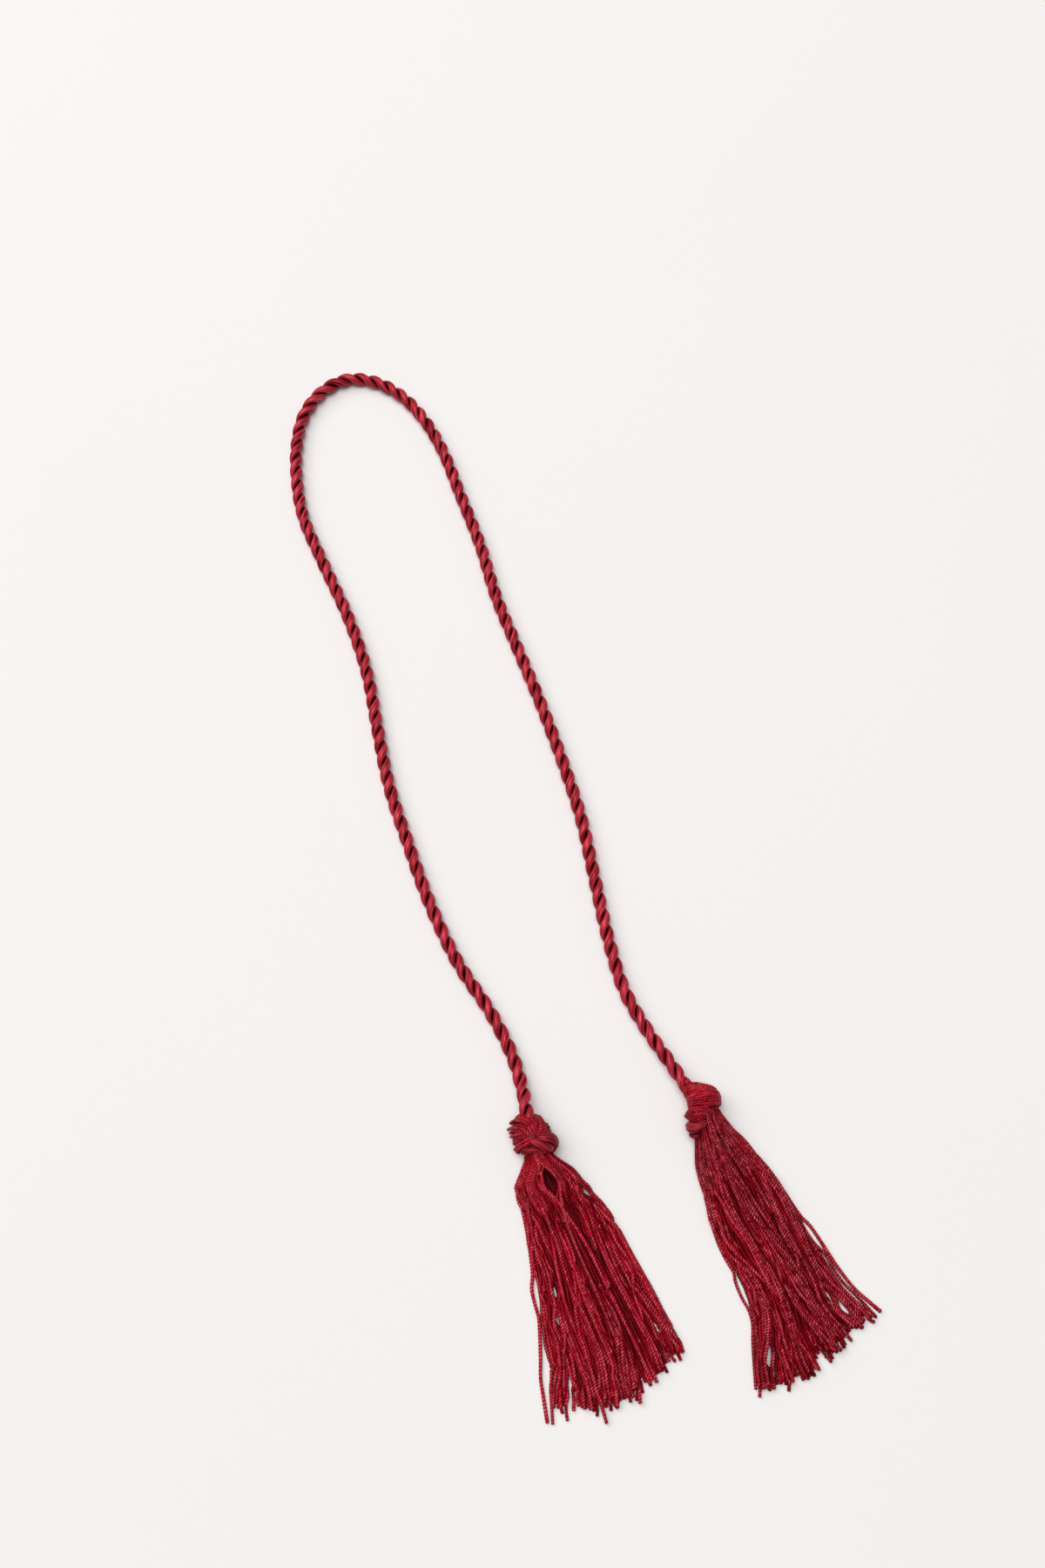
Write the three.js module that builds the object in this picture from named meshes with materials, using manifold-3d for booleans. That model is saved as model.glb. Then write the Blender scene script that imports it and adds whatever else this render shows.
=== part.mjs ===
// A twisted satin cord with a knotted yarn tassel at each end, lying in a long loop on a flat surface.
// Millimetres, +Z up, +X to the right and +Y away from the viewer.
// The origin is on the surface, in the middle of the box around the two tassels.

import * as THREE from 'three';
import { mergeVertices } from 'three/addons/utils/BufferGeometryUtils.js';
import Module from 'manifold-3d';

const wasm = await Module();
wasm.setup();

// Clearance kept between neighbouring pieces
const CLEARANCE = 0.3;

// The cord: two plies laid together with a right-hand twist
const CORD = {
  diameter: 4.5,
  waist: 1.3,
  turns: 52.65,
  firstTurn: -0.06,
  stepsPerTurn: 6,
  lengthSamples: 1320,
};

// The cord's centre line on the surface, from the left knot round the loop to the right one, between the
// points where it runs into the knots
const CORD_ROUTE = [
  [-48.3, 43.5, 3.7],
  [-51.5, 54.0, 2.5],
  [-57.7, 66.5, 2.3],
  [-68.6, 83.2, 2.3],
  [-77.2, 101.2, 2.3],
  [-84.2, 120.0, 2.3],
  [-90.6, 138.9, 2.3],
  [-94.9, 158.5, 2.3],
  [-99.0, 178.0, 2.3],
  [-105.6, 196.9, 2.3],
  [-113.9, 215.0, 2.3],
  [-121.8, 233.3, 2.3],
  [-124.6, 247.2, 2.3],
  [-125.2, 260.1, 2.3],
  [-123.3, 271.8, 2.3],
  [-117.5, 281.0, 2.3],
  [-108.9, 285.9, 2.3],
  [-99.1, 284.8, 2.3],
  [-89.9, 279.2, 2.3],
  [-82.1, 270.0, 2.3],
  [-75.5, 257.8, 2.3],
  [-69.6, 241.8, 2.3],
  [-62.7, 223.0, 2.3],
  [-57.2, 203.9, 2.3],
  [-50.0, 185.2, 2.3],
  [-42.8, 166.6, 2.3],
  [-36.2, 147.7, 2.3],
  [-30.4, 128.6, 2.3],
  [-26.4, 109.0, 2.3],
  [-22.4, 89.5, 2.3],
  [-17.9, 74.1, 2.3],
  [-11.2, 61.8, 2.5],
  [-5.1, 52.5, 3.7],
];

// The smooth cord end that crosses the neck of each knot
const TIE = {
  diameter: 2.6,
  sides: 8,
  steps: 12,
};

// The knots: lobes with raised yarn ridges, flattened where they rest on the surface
const LOBE = {
  ridges: 9,
  rings: 8,
  grooveDepth: 0.13,
};
const FLAT_SPOT_CUT = 40;

// The rounded hollow in the top of a knot that the cord runs into
const SOCKET = {
  columns: 12,
  rings: 8,
};

// The fused root of each skirt: a ridged fan that runs out to a thin edge between the strands
const ROOT = {
  ridges: 6,
  steps: 6,
  edgeShare: 0.35,
  crownPower: 3,
  groove: 0.86,
  rows: [
    { along: -3.5, thick: 6.4, lift: 1.0 },
    { along: 0.0, thick: 6.2, lift: 0.7 },
    { along: 4.0, thick: 5.8, lift: 0.0 },
    { along: 8.0, thick: 4.9, lift: 0.0 },
    { along: 11.0, thick: 3.2, lift: 0.0 },
    { along: 14.5, thick: 0.6, lift: 0.0 },
  ],
};

// The strands of a skirt, in layers that lie on each other; spread is each layer's share of the skirt's width
const STRAND = {
  steps: 6,
  start: 7.0,
  uneven: 3.0,
  rootWidth: 0.5,
  tipWidth: 0.95,
  height: 0.88,
  rootLayerStep: 1.45,
  tipLayerStep: 1.1,
  bunches: 5,
  bunchShift: 0.008,
  sway: 0.016,
  layerSeed: 31,
  tasselSeed: 7,
};
const STRAND_LAYERS = [
  { count: 21, spread: 0.98 },
  { count: 20, spread: 0.94 },
  { count: 17, spread: 0.84 },
];

// Each tassel lies along its own line: along runs from the neck to the cut ends, side is to the right and
// up is +Z. A skirt row gives the left and right edges at one distance from the neck, and the cut length is
// that of the longest strands from the neck at either edge.
const TASSELS = [
  {
    name: 'left',
    neck: [-43.6, 24.1],
    lean: -72.1,
    cordEnd: { along: -15.0, side: 0.5, up: 4.6 },
    cutLength: { left: 71.5, right: 65.5 },
    lobes: [
      { along: -9.2, side: 0.0, up: 4.6, length: 11.6, width: 10.4, height: 9.8, turn: 5 },
      { along: -7.6, side: -3.0, up: 4.0, length: 9.4, width: 6.4, height: 8.4, turn: 70 },
      { along: -4.4, side: 3.4, up: 4.1, length: 7.6, width: 6.4, height: 8.6, turn: 110 },
      { along: -3.6, side: -1.6, up: 3.7, length: 6.4, width: 6.8, height: 7.6, turn: 40 },
    ],
    tie: [
      { along: -7.0, side: -3.6, up: 7.2 },
      { along: -6.0, side: -1.7, up: 8.4 },
      { along: -4.2, side: 1.2, up: 9.0 },
      { along: -2.9, side: 4.4, up: 8.0 },
      { along: -2.8, side: 6.1, up: 5.2 },
      { along: -3.4, side: 5.9, up: 2.5 },
    ],
    skirt: [
      { along: -3.5, left: -3.6, right: 3.6 },
      { along: 0.0, left: -4.6, right: 4.8 },
      { along: 5.0, left: -9.2, right: 8.6 },
      { along: 10.0, left: -9.7, right: 10.8 },
      { along: 20.0, left: -10.6, right: 15.0 },
      { along: 35.0, left: -13.8, right: 17.8 },
      { along: 50.0, left: -16.4, right: 21.0 },
      { along: 71.0, left: -20.8, right: 24.2 },
    ],
  },
  {
    name: 'right',
    neck: [5.2, 30.6],
    lean: -63.2,
    cordEnd: { along: -15.2, side: 1.6, up: 4.6 },
    cutLength: { left: 71.0, right: 69.0 },
    lobes: [
      { along: -9.9, side: 3.5, up: 4.8, length: 11.4, width: 9.8, height: 10.2, turn: 60 },
      { along: -7.2, side: -0.6, up: 4.2, length: 8.6, width: 7.0, height: 8.8, turn: 20 },
      { along: -3.6, side: 3.6, up: 3.7, length: 6.8, width: 7.2, height: 7.6, turn: 100 },
    ],
    tie: [
      { along: -5.4, side: -4.0, up: 2.5 },
      { along: -5.6, side: -4.5, up: 4.8 },
      { along: -4.9, side: -2.8, up: 7.0 },
      { along: -4.2, side: -0.6, up: 7.9 },
      { along: -4.2, side: 1.6, up: 7.5 },
    ],
    skirt: [
      { along: -3.5, left: -2.4, right: 5.0 },
      { along: 0.0, left: -3.8, right: 6.6 },
      { along: 5.0, left: -6.3, right: 9.3 },
      { along: 10.0, left: -7.7, right: 10.7 },
      { along: 20.0, left: -10.2, right: 12.7 },
      { along: 35.0, left: -12.0, right: 14.4 },
      { along: 50.0, left: -13.8, right: 16.4 },
      { along: 71.0, left: -22.0, right: 23.6 },
    ],
  },
];

const yarn = new THREE.MeshStandardMaterial({ color: '#7f1c27', roughness: 0.55, metalness: 0 });
const satin = new THREE.MeshStandardMaterial({ color: '#96313b', roughness: 0.38, metalness: 0 });

// A repeatable uneven number from 0 to 1 for the strand with this number
function unevenShare(number) {
  const wave = Math.sin(number * 12.9898) * 43758.5453;
  return wave - Math.floor(wave);
}

// The values of a table's columns at one distance along, between the rows on either side of it
function rowAt(rows, along) {
  const last = rows.length - 2;
  const next = rows.findIndex((row) => row.along > along) - 1;
  const index = next < -1 ? last : THREE.MathUtils.clamp(next, 0, last);
  const [from, to] = [rows[index], rows[index + 1]];
  const share = (along - from.along) / (to.along - from.along);
  const between = ([column, value]) => [column, THREE.MathUtils.lerp(value, to[column], share)];
  return Object.fromEntries(Object.entries(from).map(between));
}

// A prism with this outline, each of its points carried to its place along the piece
function sweep(outline, steps, place) {
  const shape = new THREE.Shape(outline);
  const prism = new THREE.ExtrudeGeometry(shape, { depth: 1, steps, bevelEnabled: false });
  const points = prism.attributes.position;
  for (let i = 0; i < points.count; i += 1) {
    const spot = place(points.getZ(i), points.getX(i), points.getY(i));
    points.setXYZ(i, spot.x, spot.y, spot.z);
  }
  return prism;
}

// Carries an outline along a curve, level across it, turned steadily from a first turn by a number of turns
function alongCurve(curve, turns = 0, firstTurn = 0) {
  const up = new THREE.Vector3(0, 0, 1);
  return (share, x, y) => {
    const tangent = curve.getTangentAt(share);
    const across = up.clone().cross(tangent).normalize();
    const lift = tangent.clone().cross(across);
    const angle = (firstTurn + share * turns) * 2 * Math.PI;
    const turned = new THREE.Vector2(x, y).rotateAround(new THREE.Vector2(), angle);
    return curve.getPointAt(share).addScaledVector(across, turned.x).addScaledVector(lift, turned.y);
  };
}

function roundOutline(diameter, sides) {
  const corner = (_, i) => new THREE.Vector2(diameter / 2, 0)
    .rotateAround(new THREE.Vector2(), (i / sides) * 2 * Math.PI);
  return Array.from({ length: sides }, corner);
}

// Two plies side by side, drawn in at the waist between them
function twoPlyOutline() {
  const ply = CORD.diameter / 4;
  const outline = [];
  for (const half of [1, -1]) {
    for (const degrees of [-60, 0, 60]) {
      const angle = THREE.MathUtils.degToRad(degrees);
      outline.push(new THREE.Vector2(half * ply * (1 + Math.cos(angle)), half * ply * Math.sin(angle)));
    }
    outline.push(new THREE.Vector2(0, half * CORD.waist / 2));
  }
  return outline;
}

// A strand's three-sided section, one side down
function strandOutline() {
  return [new THREE.Vector2(-0.5, 0), new THREE.Vector2(0.5, 0), new THREE.Vector2(0, 1)];
}

// The section of a skirt's root: flat below, crowned above and grooved between the yarns
function rootOutline() {
  const outline = [new THREE.Vector2(-0.5, 0), new THREE.Vector2(0.5, 0)];
  const count = 2 * ROOT.ridges;
  for (let i = 0; i <= count; i += 1) {
    const x = 0.5 - i / count;
    const crown = 1 - (1 - ROOT.edgeShare) * Math.abs(2 * x) ** ROOT.crownPower;
    outline.push(new THREE.Vector2(x, crown * (i % 2 ? ROOT.groove : 1)));
  }
  return outline;
}

// Exact joins and cuts
function solid(geometry) {
  const bare = geometry.clone();
  bare.deleteAttribute('normal');
  bare.deleteAttribute('uv');
  const merged = mergeVertices(bare);
  return new wasm.Manifold(new wasm.Mesh({
    numProp: 3,
    vertProperties: new Float32Array(merged.attributes.position.array),
    triVerts: new Uint32Array(merged.index.array),
  }));
}

function geometryOf(manifold) {
  const mesh = manifold.getMesh();
  const geometry = new THREE.BufferGeometry();
  geometry.setAttribute('position', new THREE.BufferAttribute(mesh.vertProperties, 3));
  geometry.setIndex(new THREE.BufferAttribute(mesh.triVerts, 1));
  geometry.computeVertexNormals();
  return geometry;
}

// One lobe of a knot, with ridges that run round it in the direction of its turn
function lobeSolid(lobe) {
  const columns = 2 * LOBE.ridges;
  const ball = new THREE.SphereGeometry(1, columns, LOBE.rings);
  const points = ball.attributes.position;
  for (let i = 0; i < points.count; i += 1) {
    const groove = i % (columns + 1) % 2 ? 1 - LOBE.grooveDepth : 1;
    points.setXYZ(i, points.getX(i) * groove, points.getY(i), points.getZ(i) * groove);
  }
  ball.rotateZ(THREE.MathUtils.degToRad(lobe.turn - 90));
  ball.scale(lobe.length / 2, lobe.width / 2, lobe.height / 2);
  ball.translate(lobe.along, lobe.side, lobe.up);
  return solid(ball);
}

function rootSolid(tassel) {
  const first = ROOT.rows[0].along;
  const last = ROOT.rows[ROOT.rows.length - 1].along;
  return solid(sweep(rootOutline(), ROOT.steps, (share, x, y) => {
    const along = THREE.MathUtils.lerp(first, last, share);
    const { left, right } = rowAt(tassel.skirt, along);
    const { thick, lift } = rowAt(ROOT.rows, along);
    return new THREE.Vector3(along, (left + right) / 2 + x * (right - left), lift + y * thick);
  }));
}

// One strand: it starts inside the root, spreads with the skirt, sways a little and ends in a square cut
function strandSolid(tassel, layerNumber, strandNumber) {
  const layer = STRAND_LAYERS[layerNumber];
  const even = (strandNumber + 0.5) / layer.count - 0.5;
  const bunch = Math.sin(2 * Math.PI * (STRAND.bunches * even + layerNumber / STRAND_LAYERS.length));
  const bunched = even + STRAND.bunchShift * bunch;
  const seed = strandNumber + STRAND.layerSeed * layerNumber + STRAND.tasselSeed * tassel.name.length;
  const cut = THREE.MathUtils.lerp(tassel.cutLength.left, tassel.cutLength.right, even + 0.5);
  const reach = cut - STRAND.uneven * unevenShare(seed);
  const endEdges = rowAt(tassel.skirt, reach);
  const endSide = (endEdges.left + endEdges.right) / 2 + bunched * (endEdges.right - endEdges.left);
  const end = Math.sqrt(reach ** 2 - endSide ** 2);
  return solid(sweep(strandOutline(), STRAND.steps, (share, x, y) => {
    const along = THREE.MathUtils.lerp(STRAND.start, end, share);
    const { left, right } = rowAt(tassel.skirt, along);
    const wave = Math.sin(2 * Math.PI * (share + 2 * even + layerNumber / STRAND_LAYERS.length));
    const sway = STRAND.sway * share * wave;
    const across = layer.spread * bunched + sway;
    const width = THREE.MathUtils.lerp(STRAND.rootWidth, STRAND.tipWidth, share);
    const layerStep = THREE.MathUtils.lerp(STRAND.rootLayerStep, STRAND.tipLayerStep, share);
    const side = (left + right) / 2 + across * (right - left);
    return new THREE.Vector3(along, side + x * width, layerNumber * layerStep + y * STRAND.height);
  }));
}

// A place on a tassel as a point in its own frame
function pointOf({ along, side, up }) {
  return new THREE.Vector3(along, side, up);
}

function tieGeometry(tassel, extra = 0) {
  const curve = new THREE.CatmullRomCurve3(tassel.tie.map(pointOf));
  return sweep(roundOutline(TIE.diameter + extra, TIE.sides), TIE.steps, alongCurve(curve));
}

function cordSocket(tassel) {
  const { along, side, up } = tassel.cordEnd;
  const socket = new THREE.SphereGeometry(CORD.diameter / 2 + CLEARANCE, SOCKET.columns, SOCKET.rings);
  socket.translate(along, side, up);
  return solid(socket);
}

// A whole tassel: the knot's lobes, the root and the strands in one body
function tasselGeometry(tassel) {
  const below = new THREE.BoxGeometry(FLAT_SPOT_CUT, FLAT_SPOT_CUT, FLAT_SPOT_CUT);
  below.translate(0, 0, -FLAT_SPOT_CUT / 2);
  let body = tassel.lobes.map(lobeSolid).reduce((whole, lobe) => whole.add(lobe));
  body = body.subtract(solid(below)).add(rootSolid(tassel));
  body = body.subtract(solid(tieGeometry(tassel, 2 * CLEARANCE))).subtract(cordSocket(tassel));
  STRAND_LAYERS.forEach((layer, layerNumber) => {
    for (let i = 0; i < layer.count; i += 1) {
      body = body.add(strandSolid(tassel, layerNumber, i));
    }
  });
  return geometryOf(body);
}

function namedMesh(name, geometry, material) {
  const mesh = new THREE.Mesh(geometry, material);
  mesh.name = name;
  return mesh;
}

const ornament = new THREE.Group();
const cordEnds = [];
for (const tassel of TASSELS) {
  const laid = new THREE.Group();
  laid.position.set(tassel.neck[0], tassel.neck[1], 0);
  laid.rotation.z = THREE.MathUtils.degToRad(tassel.lean);
  laid.add(namedMesh(`tassel_${tassel.name}`, tasselGeometry(tassel), yarn));
  laid.add(namedMesh(`tie_${tassel.name}`, tieGeometry(tassel), satin));
  laid.updateMatrixWorld();
  ornament.add(laid);
  cordEnds.push(laid.localToWorld(pointOf(tassel.cordEnd)));
}

const route = CORD_ROUTE.map(([x, y, z]) => new THREE.Vector3(x, y, z));
const cordCurve = new THREE.CatmullRomCurve3([cordEnds[0], ...route, cordEnds[1]]);
cordCurve.arcLengthDivisions = CORD.lengthSamples;
const cordSteps = Math.round(CORD.turns * CORD.stepsPerTurn);
const cordGeometry = sweep(twoPlyOutline(), cordSteps, alongCurve(cordCurve, CORD.turns, CORD.firstTurn));
ornament.add(namedMesh('cord', cordGeometry, satin));

export default ornament;
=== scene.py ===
"""A wine-red twisted satin cord with a knotted yarn tassel at each end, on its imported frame.

Sizes in the classes are millimetres, and become metres where a mesh is made.
"""

import logging
import math
from dataclasses import dataclass, field
from enum import Enum
from typing import Any, Sequence

import bmesh
import bpy
import numpy as np
from mathutils import Matrix, Vector


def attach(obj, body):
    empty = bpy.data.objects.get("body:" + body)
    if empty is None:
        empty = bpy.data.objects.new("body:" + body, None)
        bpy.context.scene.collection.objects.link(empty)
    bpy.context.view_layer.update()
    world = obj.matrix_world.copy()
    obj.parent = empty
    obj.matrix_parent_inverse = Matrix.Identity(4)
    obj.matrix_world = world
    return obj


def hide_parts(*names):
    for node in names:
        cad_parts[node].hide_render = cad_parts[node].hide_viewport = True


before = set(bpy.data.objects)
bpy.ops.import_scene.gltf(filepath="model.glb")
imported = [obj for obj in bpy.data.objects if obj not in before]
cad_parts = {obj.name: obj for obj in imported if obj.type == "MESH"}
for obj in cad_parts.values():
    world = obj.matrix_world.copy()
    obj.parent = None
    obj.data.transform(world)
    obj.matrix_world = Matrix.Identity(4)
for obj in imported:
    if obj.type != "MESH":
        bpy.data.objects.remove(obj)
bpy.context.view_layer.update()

MM = 0.001
FULL_TURN = 2 * math.pi
STEPS_BETWEEN_MARKS = 24
STEEP = 0.9
MIDDLE_TONE = 0.5
# Steps that fill a line, and the width and the height of a heap, evenly and out of order.
GOLDEN = 0.618
EVEN_PAIR = (0.75488, 0.56984)
LOG = logging.getLogger("tassel_cord")

Row = Sequence[float]
Rows = Sequence[Row]


class Slot(Enum):
    """The two material slots, named as the materials are."""

    CORD = "satin_cord"
    YARN = "twisted_yarn"


class Pile(Enum):
    """The two halves of a skirt, each one piece."""

    UNDER = "under"
    UPPER = "upper"


def linked(name: str, data: bpy.types.ID) -> bpy.types.Object:
    """Puts a mesh, a light or a camera in the scene.

    Args:
        name: Name of the object.
        data: What the object shows.

    Returns:
        The new object.
    """
    made = bpy.data.objects.new(name, data)
    bpy.context.scene.collection.objects.link(made)
    return made


# Lines and sections


def unit(vectors: np.ndarray) -> np.ndarray:
    """Vectors along the last axis at a length of one."""
    return vectors / np.maximum(np.linalg.norm(vectors, axis=-1, keepdims=True), 1e-9)


def eased(share: np.ndarray) -> np.ndarray:
    """Shares from 0 to 1 with a soft start and a soft end."""
    held = np.clip(share, 0, 1)
    return held * held * (3 - 2 * held)


def looked_up(rows: Rows, at: np.ndarray) -> np.ndarray:
    """Values from a table of two columns, place and value."""
    return np.interp(at, *np.transpose(rows))


def spread_out(count: int, first: float, ratio: float) -> np.ndarray:
    """Shares from 0 to 1 that fill the range evenly, out of order."""
    return (first + np.arange(count) * ratio) % 1.0


def waved(along: np.ndarray, waves: Rows, starts: Sequence[np.ndarray]) -> np.ndarray:
    """Soft waves added up along many lines.

    Args:
        along: Distances, shaped (lines, points).
        waves: Reach and run of each wave.
        starts: Turn at which each wave starts, for every line.

    Returns:
        Reaches, shaped (lines, points).
    """
    return sum(
        reach * np.sin(along / run + start[:, None]) for (reach, run), start in zip(waves, starts)
    )


def run_of(lines: np.ndarray) -> np.ndarray:
    """Distance travelled at every point of many lines.

    Args:
        lines: Points of the lines, shaped (lines, points, 3).

    Returns:
        Distances, shaped (lines, points).
    """
    steps = np.linalg.norm(np.diff(lines, axis=1), axis=2)
    return np.concatenate([np.zeros((len(lines), 1)), np.cumsum(steps, axis=1)], axis=1)


def bent_through(marks: Rows, count: int) -> np.ndarray:
    """One smooth line through every mark, with evenly spaced points.

    Args:
        marks: Rows of numbers, the first three of them a place.
        count: Number of points wanted.

    Returns:
        Points, shaped (count, columns of a row).
    """
    rows = np.asarray(marks, float)
    rows = np.vstack([2 * rows[0] - rows[1], rows, 2 * rows[-1] - rows[-2]])
    share = np.linspace(0, 1, STEPS_BETWEEN_MARKS, endpoint=False)[:, None]
    parts = []
    for before, start, end, after in zip(rows, rows[1:], rows[2:], rows[3:]):
        d0, d1, d2 = (
            math.sqrt(max(np.linalg.norm(b[:3] - a[:3]), 1e-6))
            for a, b in ((before, start), (start, end), (end, after))
        )
        leave = ((start - before) / d0 - (end - before) / (d0 + d1) + (end - start) / d1) * d1
        arrive = ((end - start) / d1 - (after - start) / (d1 + d2) + (after - end) / d2) * d1
        bend2 = -3 * start + 3 * end - 2 * leave - arrive
        bend3 = 2 * start - 2 * end + leave + arrive
        parts.append(start + leave * share + bend2 * share**2 + bend3 * share**3)
    fine = np.vstack([*parts, rows[-2:-1]])
    run = run_of(fine[None, :, :3])[0]
    at = np.linspace(0, run[-1], count)
    return np.stack([np.interp(at, run, column) for column in fine.T], axis=1)


def finer(lines: np.ndarray, count: int) -> np.ndarray:
    """Many lines with more points, rounded between the old ones.

    Args:
        lines: Points or other values, shaped (lines, points, columns).
        count: Number of points wanted on each line.

    Returns:
        Values, shaped (lines, count, columns).
    """
    last = lines.shape[1] - 1
    at = np.linspace(0, last, count)
    index = np.minimum(at.astype(int), last - 1)
    part = (at - index)[None, :, None]
    slope = np.gradient(lines, axis=1)
    start, end = lines[:, index], lines[:, index + 1]
    leave, arrive = slope[:, index], slope[:, index + 1]
    bend2 = 3 * (end - start) - 2 * leave - arrive
    bend3 = 2 * (start - end) + leave + arrive
    return start + leave * part + bend2 * part**2 + bend3 * part**3


def carried_frames(lines: np.ndarray) -> tuple[np.ndarray, np.ndarray]:
    """Two cross directions along many lines, carried from the start without a twist.

    Args:
        lines: Points, shaped (lines, points, 3).

    Returns:
        The directions across and up, each shaped like the lines.
    """
    ahead = unit(np.gradient(lines, axis=1))
    steep = np.abs(ahead[:, 0, 2:3]) > STEEP
    first = np.where(steep, [1.0, 0.0, 0.0], [0.0, 0.0, 1.0])
    across = np.empty_like(lines)
    across[:, 0] = unit(np.cross(first, ahead[:, 0]))
    for k in range(1, lines.shape[1]):
        carried = across[:, k - 1]
        lean = np.sum(carried * ahead[:, k], axis=1, keepdims=True)
        across[:, k] = unit(carried - ahead[:, k] * lean)
    return across, np.cross(ahead, across)


@dataclass
class StrandMesh:
    """Gathers many swept strands and joins them in one mesh."""

    points: list[np.ndarray] = field(default_factory=list)
    quads: list[np.ndarray] = field(default_factory=list)
    caps: list[np.ndarray] = field(default_factory=list)
    quad_maps: list[np.ndarray] = field(default_factory=list)
    tones: list[np.ndarray] = field(default_factory=list)
    painted_shades_and_dull: list[np.ndarray] = field(default_factory=list)
    cut_end: float = 0.6
    used: int = 0

    def add(self, rings: np.ndarray, tones: np.ndarray, painted_shade_and_dull: np.ndarray) -> None:
        """Takes in strands of one kind.

        Args:
            rings: Outlines along the strands, shaped (strands, rings, corners, 3).
            tones: One shade for each strand, from 0 to 1.
            painted_shade_and_dull: Painted shade at each corner, with some even darkening of whole
                yarns and ties, from 0 to 1, for one outline or for all.
        """
        strands, along, around, _ = rings.shape
        each = along * around
        self.points.append(rings.reshape(-1, 3))
        middles = np.stack([rings[:, 0].mean(axis=1), rings[:, -1].mean(axis=1)], axis=1)
        self.points.append(middles.reshape(-1, 3))
        row, corner = np.meshgrid(np.arange(along - 1), np.arange(around), indexing="ij")
        after = (corner + 1) % around
        face = np.stack(
            [row * around + corner, row * around + after,
             (row + 1) * around + after, (row + 1) * around + corner], axis=-1
        ).reshape(-1, 4)
        first = self.used + np.arange(strands) * each
        self.quads.append((first[:, None, None] + face[None]).reshape(-1, 4))
        self.quad_maps.append(self._length_map(rings, row, corner))
        ring = np.arange(around)
        turned = np.roll(ring, -1)
        tail = each - around
        for end, (one, other) in enumerate(((turned, ring), (ring + tail, turned + tail))):
            middle = self.used + strands * each + np.arange(strands) * 2 + end
            fan = np.stack(
                [np.repeat(middle[:, None], around, axis=1),
                 first[:, None] + one[None], first[:, None] + other[None]], axis=-1
            )
            self.caps.append(fan.reshape(-1, 3))
        self.tones += [np.repeat(tones, each), np.repeat(tones, 2)]
        self.painted_shades_and_dull += [np.resize(painted_shade_and_dull, strands * each), np.full(strands * 2, self.cut_end)]
        self.used += strands * (each + 2)

    @staticmethod
    def _length_map(rings: np.ndarray, row: np.ndarray, corner: np.ndarray) -> np.ndarray:
        """Corner places on a flat map: once round in u, millimetres along in v.

        Args:
            rings: Outlines along the strands.
            row: Ring number of every face of one strand.
            corner: Corner number of every face of one strand.

        Returns:
            Map places, four for each face.
        """
        around = rings.shape[2]
        run = run_of(rings.mean(axis=2))
        low, high = run[:, row.ravel()], run[:, row.ravel() + 1]
        left = np.broadcast_to(corner.ravel() / around, low.shape)
        right = left + 1 / around
        flat = [(left, low), (right, low), (right, high), (left, high)]
        return np.stack([np.stack(place, axis=-1) for place in flat], axis=2).reshape(-1, 2)

    def piece(self, name: str) -> bpy.types.Object:
        """Makes the joined mesh an object at the origin.

        Args:
            name: Name of the piece.

        Returns:
            The new object, linked to the scene.
        """
        points = np.concatenate(self.points) * MM
        quads, caps = np.concatenate(self.quads), np.concatenate(self.caps)
        corners = np.concatenate([quads.ravel(), caps.ravel()])
        starts = np.concatenate(
            [np.arange(len(quads)) * 4, quads.size + np.arange(len(caps)) * 3]
        )
        mesh = bpy.data.meshes.new(name)
        mesh.vertices.add(len(points))
        mesh.loops.add(len(corners))
        mesh.polygons.add(len(starts))
        mesh.vertices.foreach_set("co", points.ravel().astype(np.float32))
        mesh.loops.foreach_set("vertex_index", corners.astype(np.int32))
        mesh.polygons.foreach_set("loop_start", starts.astype(np.int32))
        mesh.update(calc_edges=True)
        mesh.shade_smooth()
        places = np.zeros((len(corners), 2), np.float32)
        flat = np.concatenate(self.quad_maps)
        places[: len(flat)] = flat
        mesh.uv_layers.new(name="length_map").data.foreach_set("uv", places.ravel())
        # The shade channel holds painted shade, with some even darkening of whole yarns and ties.
        for label, values in (("tone", self.tones), ("painted_shade_and_dull", self.painted_shades_and_dull)):
            layer = mesh.attributes.new(label, "FLOAT", "POINT")
            layer.data.foreach_set("value", np.concatenate(values).astype(np.float32))
        return linked(name, mesh)


# Finishes


class Wire:
    """A socket that takes part in Python sums, each of which adds a Math node."""

    def __init__(self, board: "Board", socket: bpy.types.NodeSocket) -> None:
        """Wraps an output socket of a board's node."""
        self.board = board
        self.socket = socket

    def _sum(self, operation: str, left: Any, right: Any) -> "Wire":
        """Adds the Math node of one operation."""
        node = self.board.node("ShaderNodeMath", {"operation": operation}, {0: left, 1: right})
        return Wire(self.board, node.outputs[0])

    def __add__(self, other: Any) -> "Wire":
        """This value plus another."""
        return self._sum("ADD", self, other)

    def __radd__(self, other: Any) -> "Wire":
        """Another value plus this one."""
        return self._sum("ADD", other, self)

    def __sub__(self, other: Any) -> "Wire":
        """This value less another."""
        return self._sum("SUBTRACT", self, other)

    def __rsub__(self, other: Any) -> "Wire":
        """Another value less this one."""
        return self._sum("SUBTRACT", other, self)

    def __mul__(self, other: Any) -> "Wire":
        """This value times another."""
        return self._sum("MULTIPLY", self, other)

    def __rmul__(self, other: Any) -> "Wire":
        """Another value times this one."""
        return self._sum("MULTIPLY", other, self)

    def __pow__(self, other: Any) -> "Wire":
        """This value raised to a power."""
        return self._sum("POWER", self, other)


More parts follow.
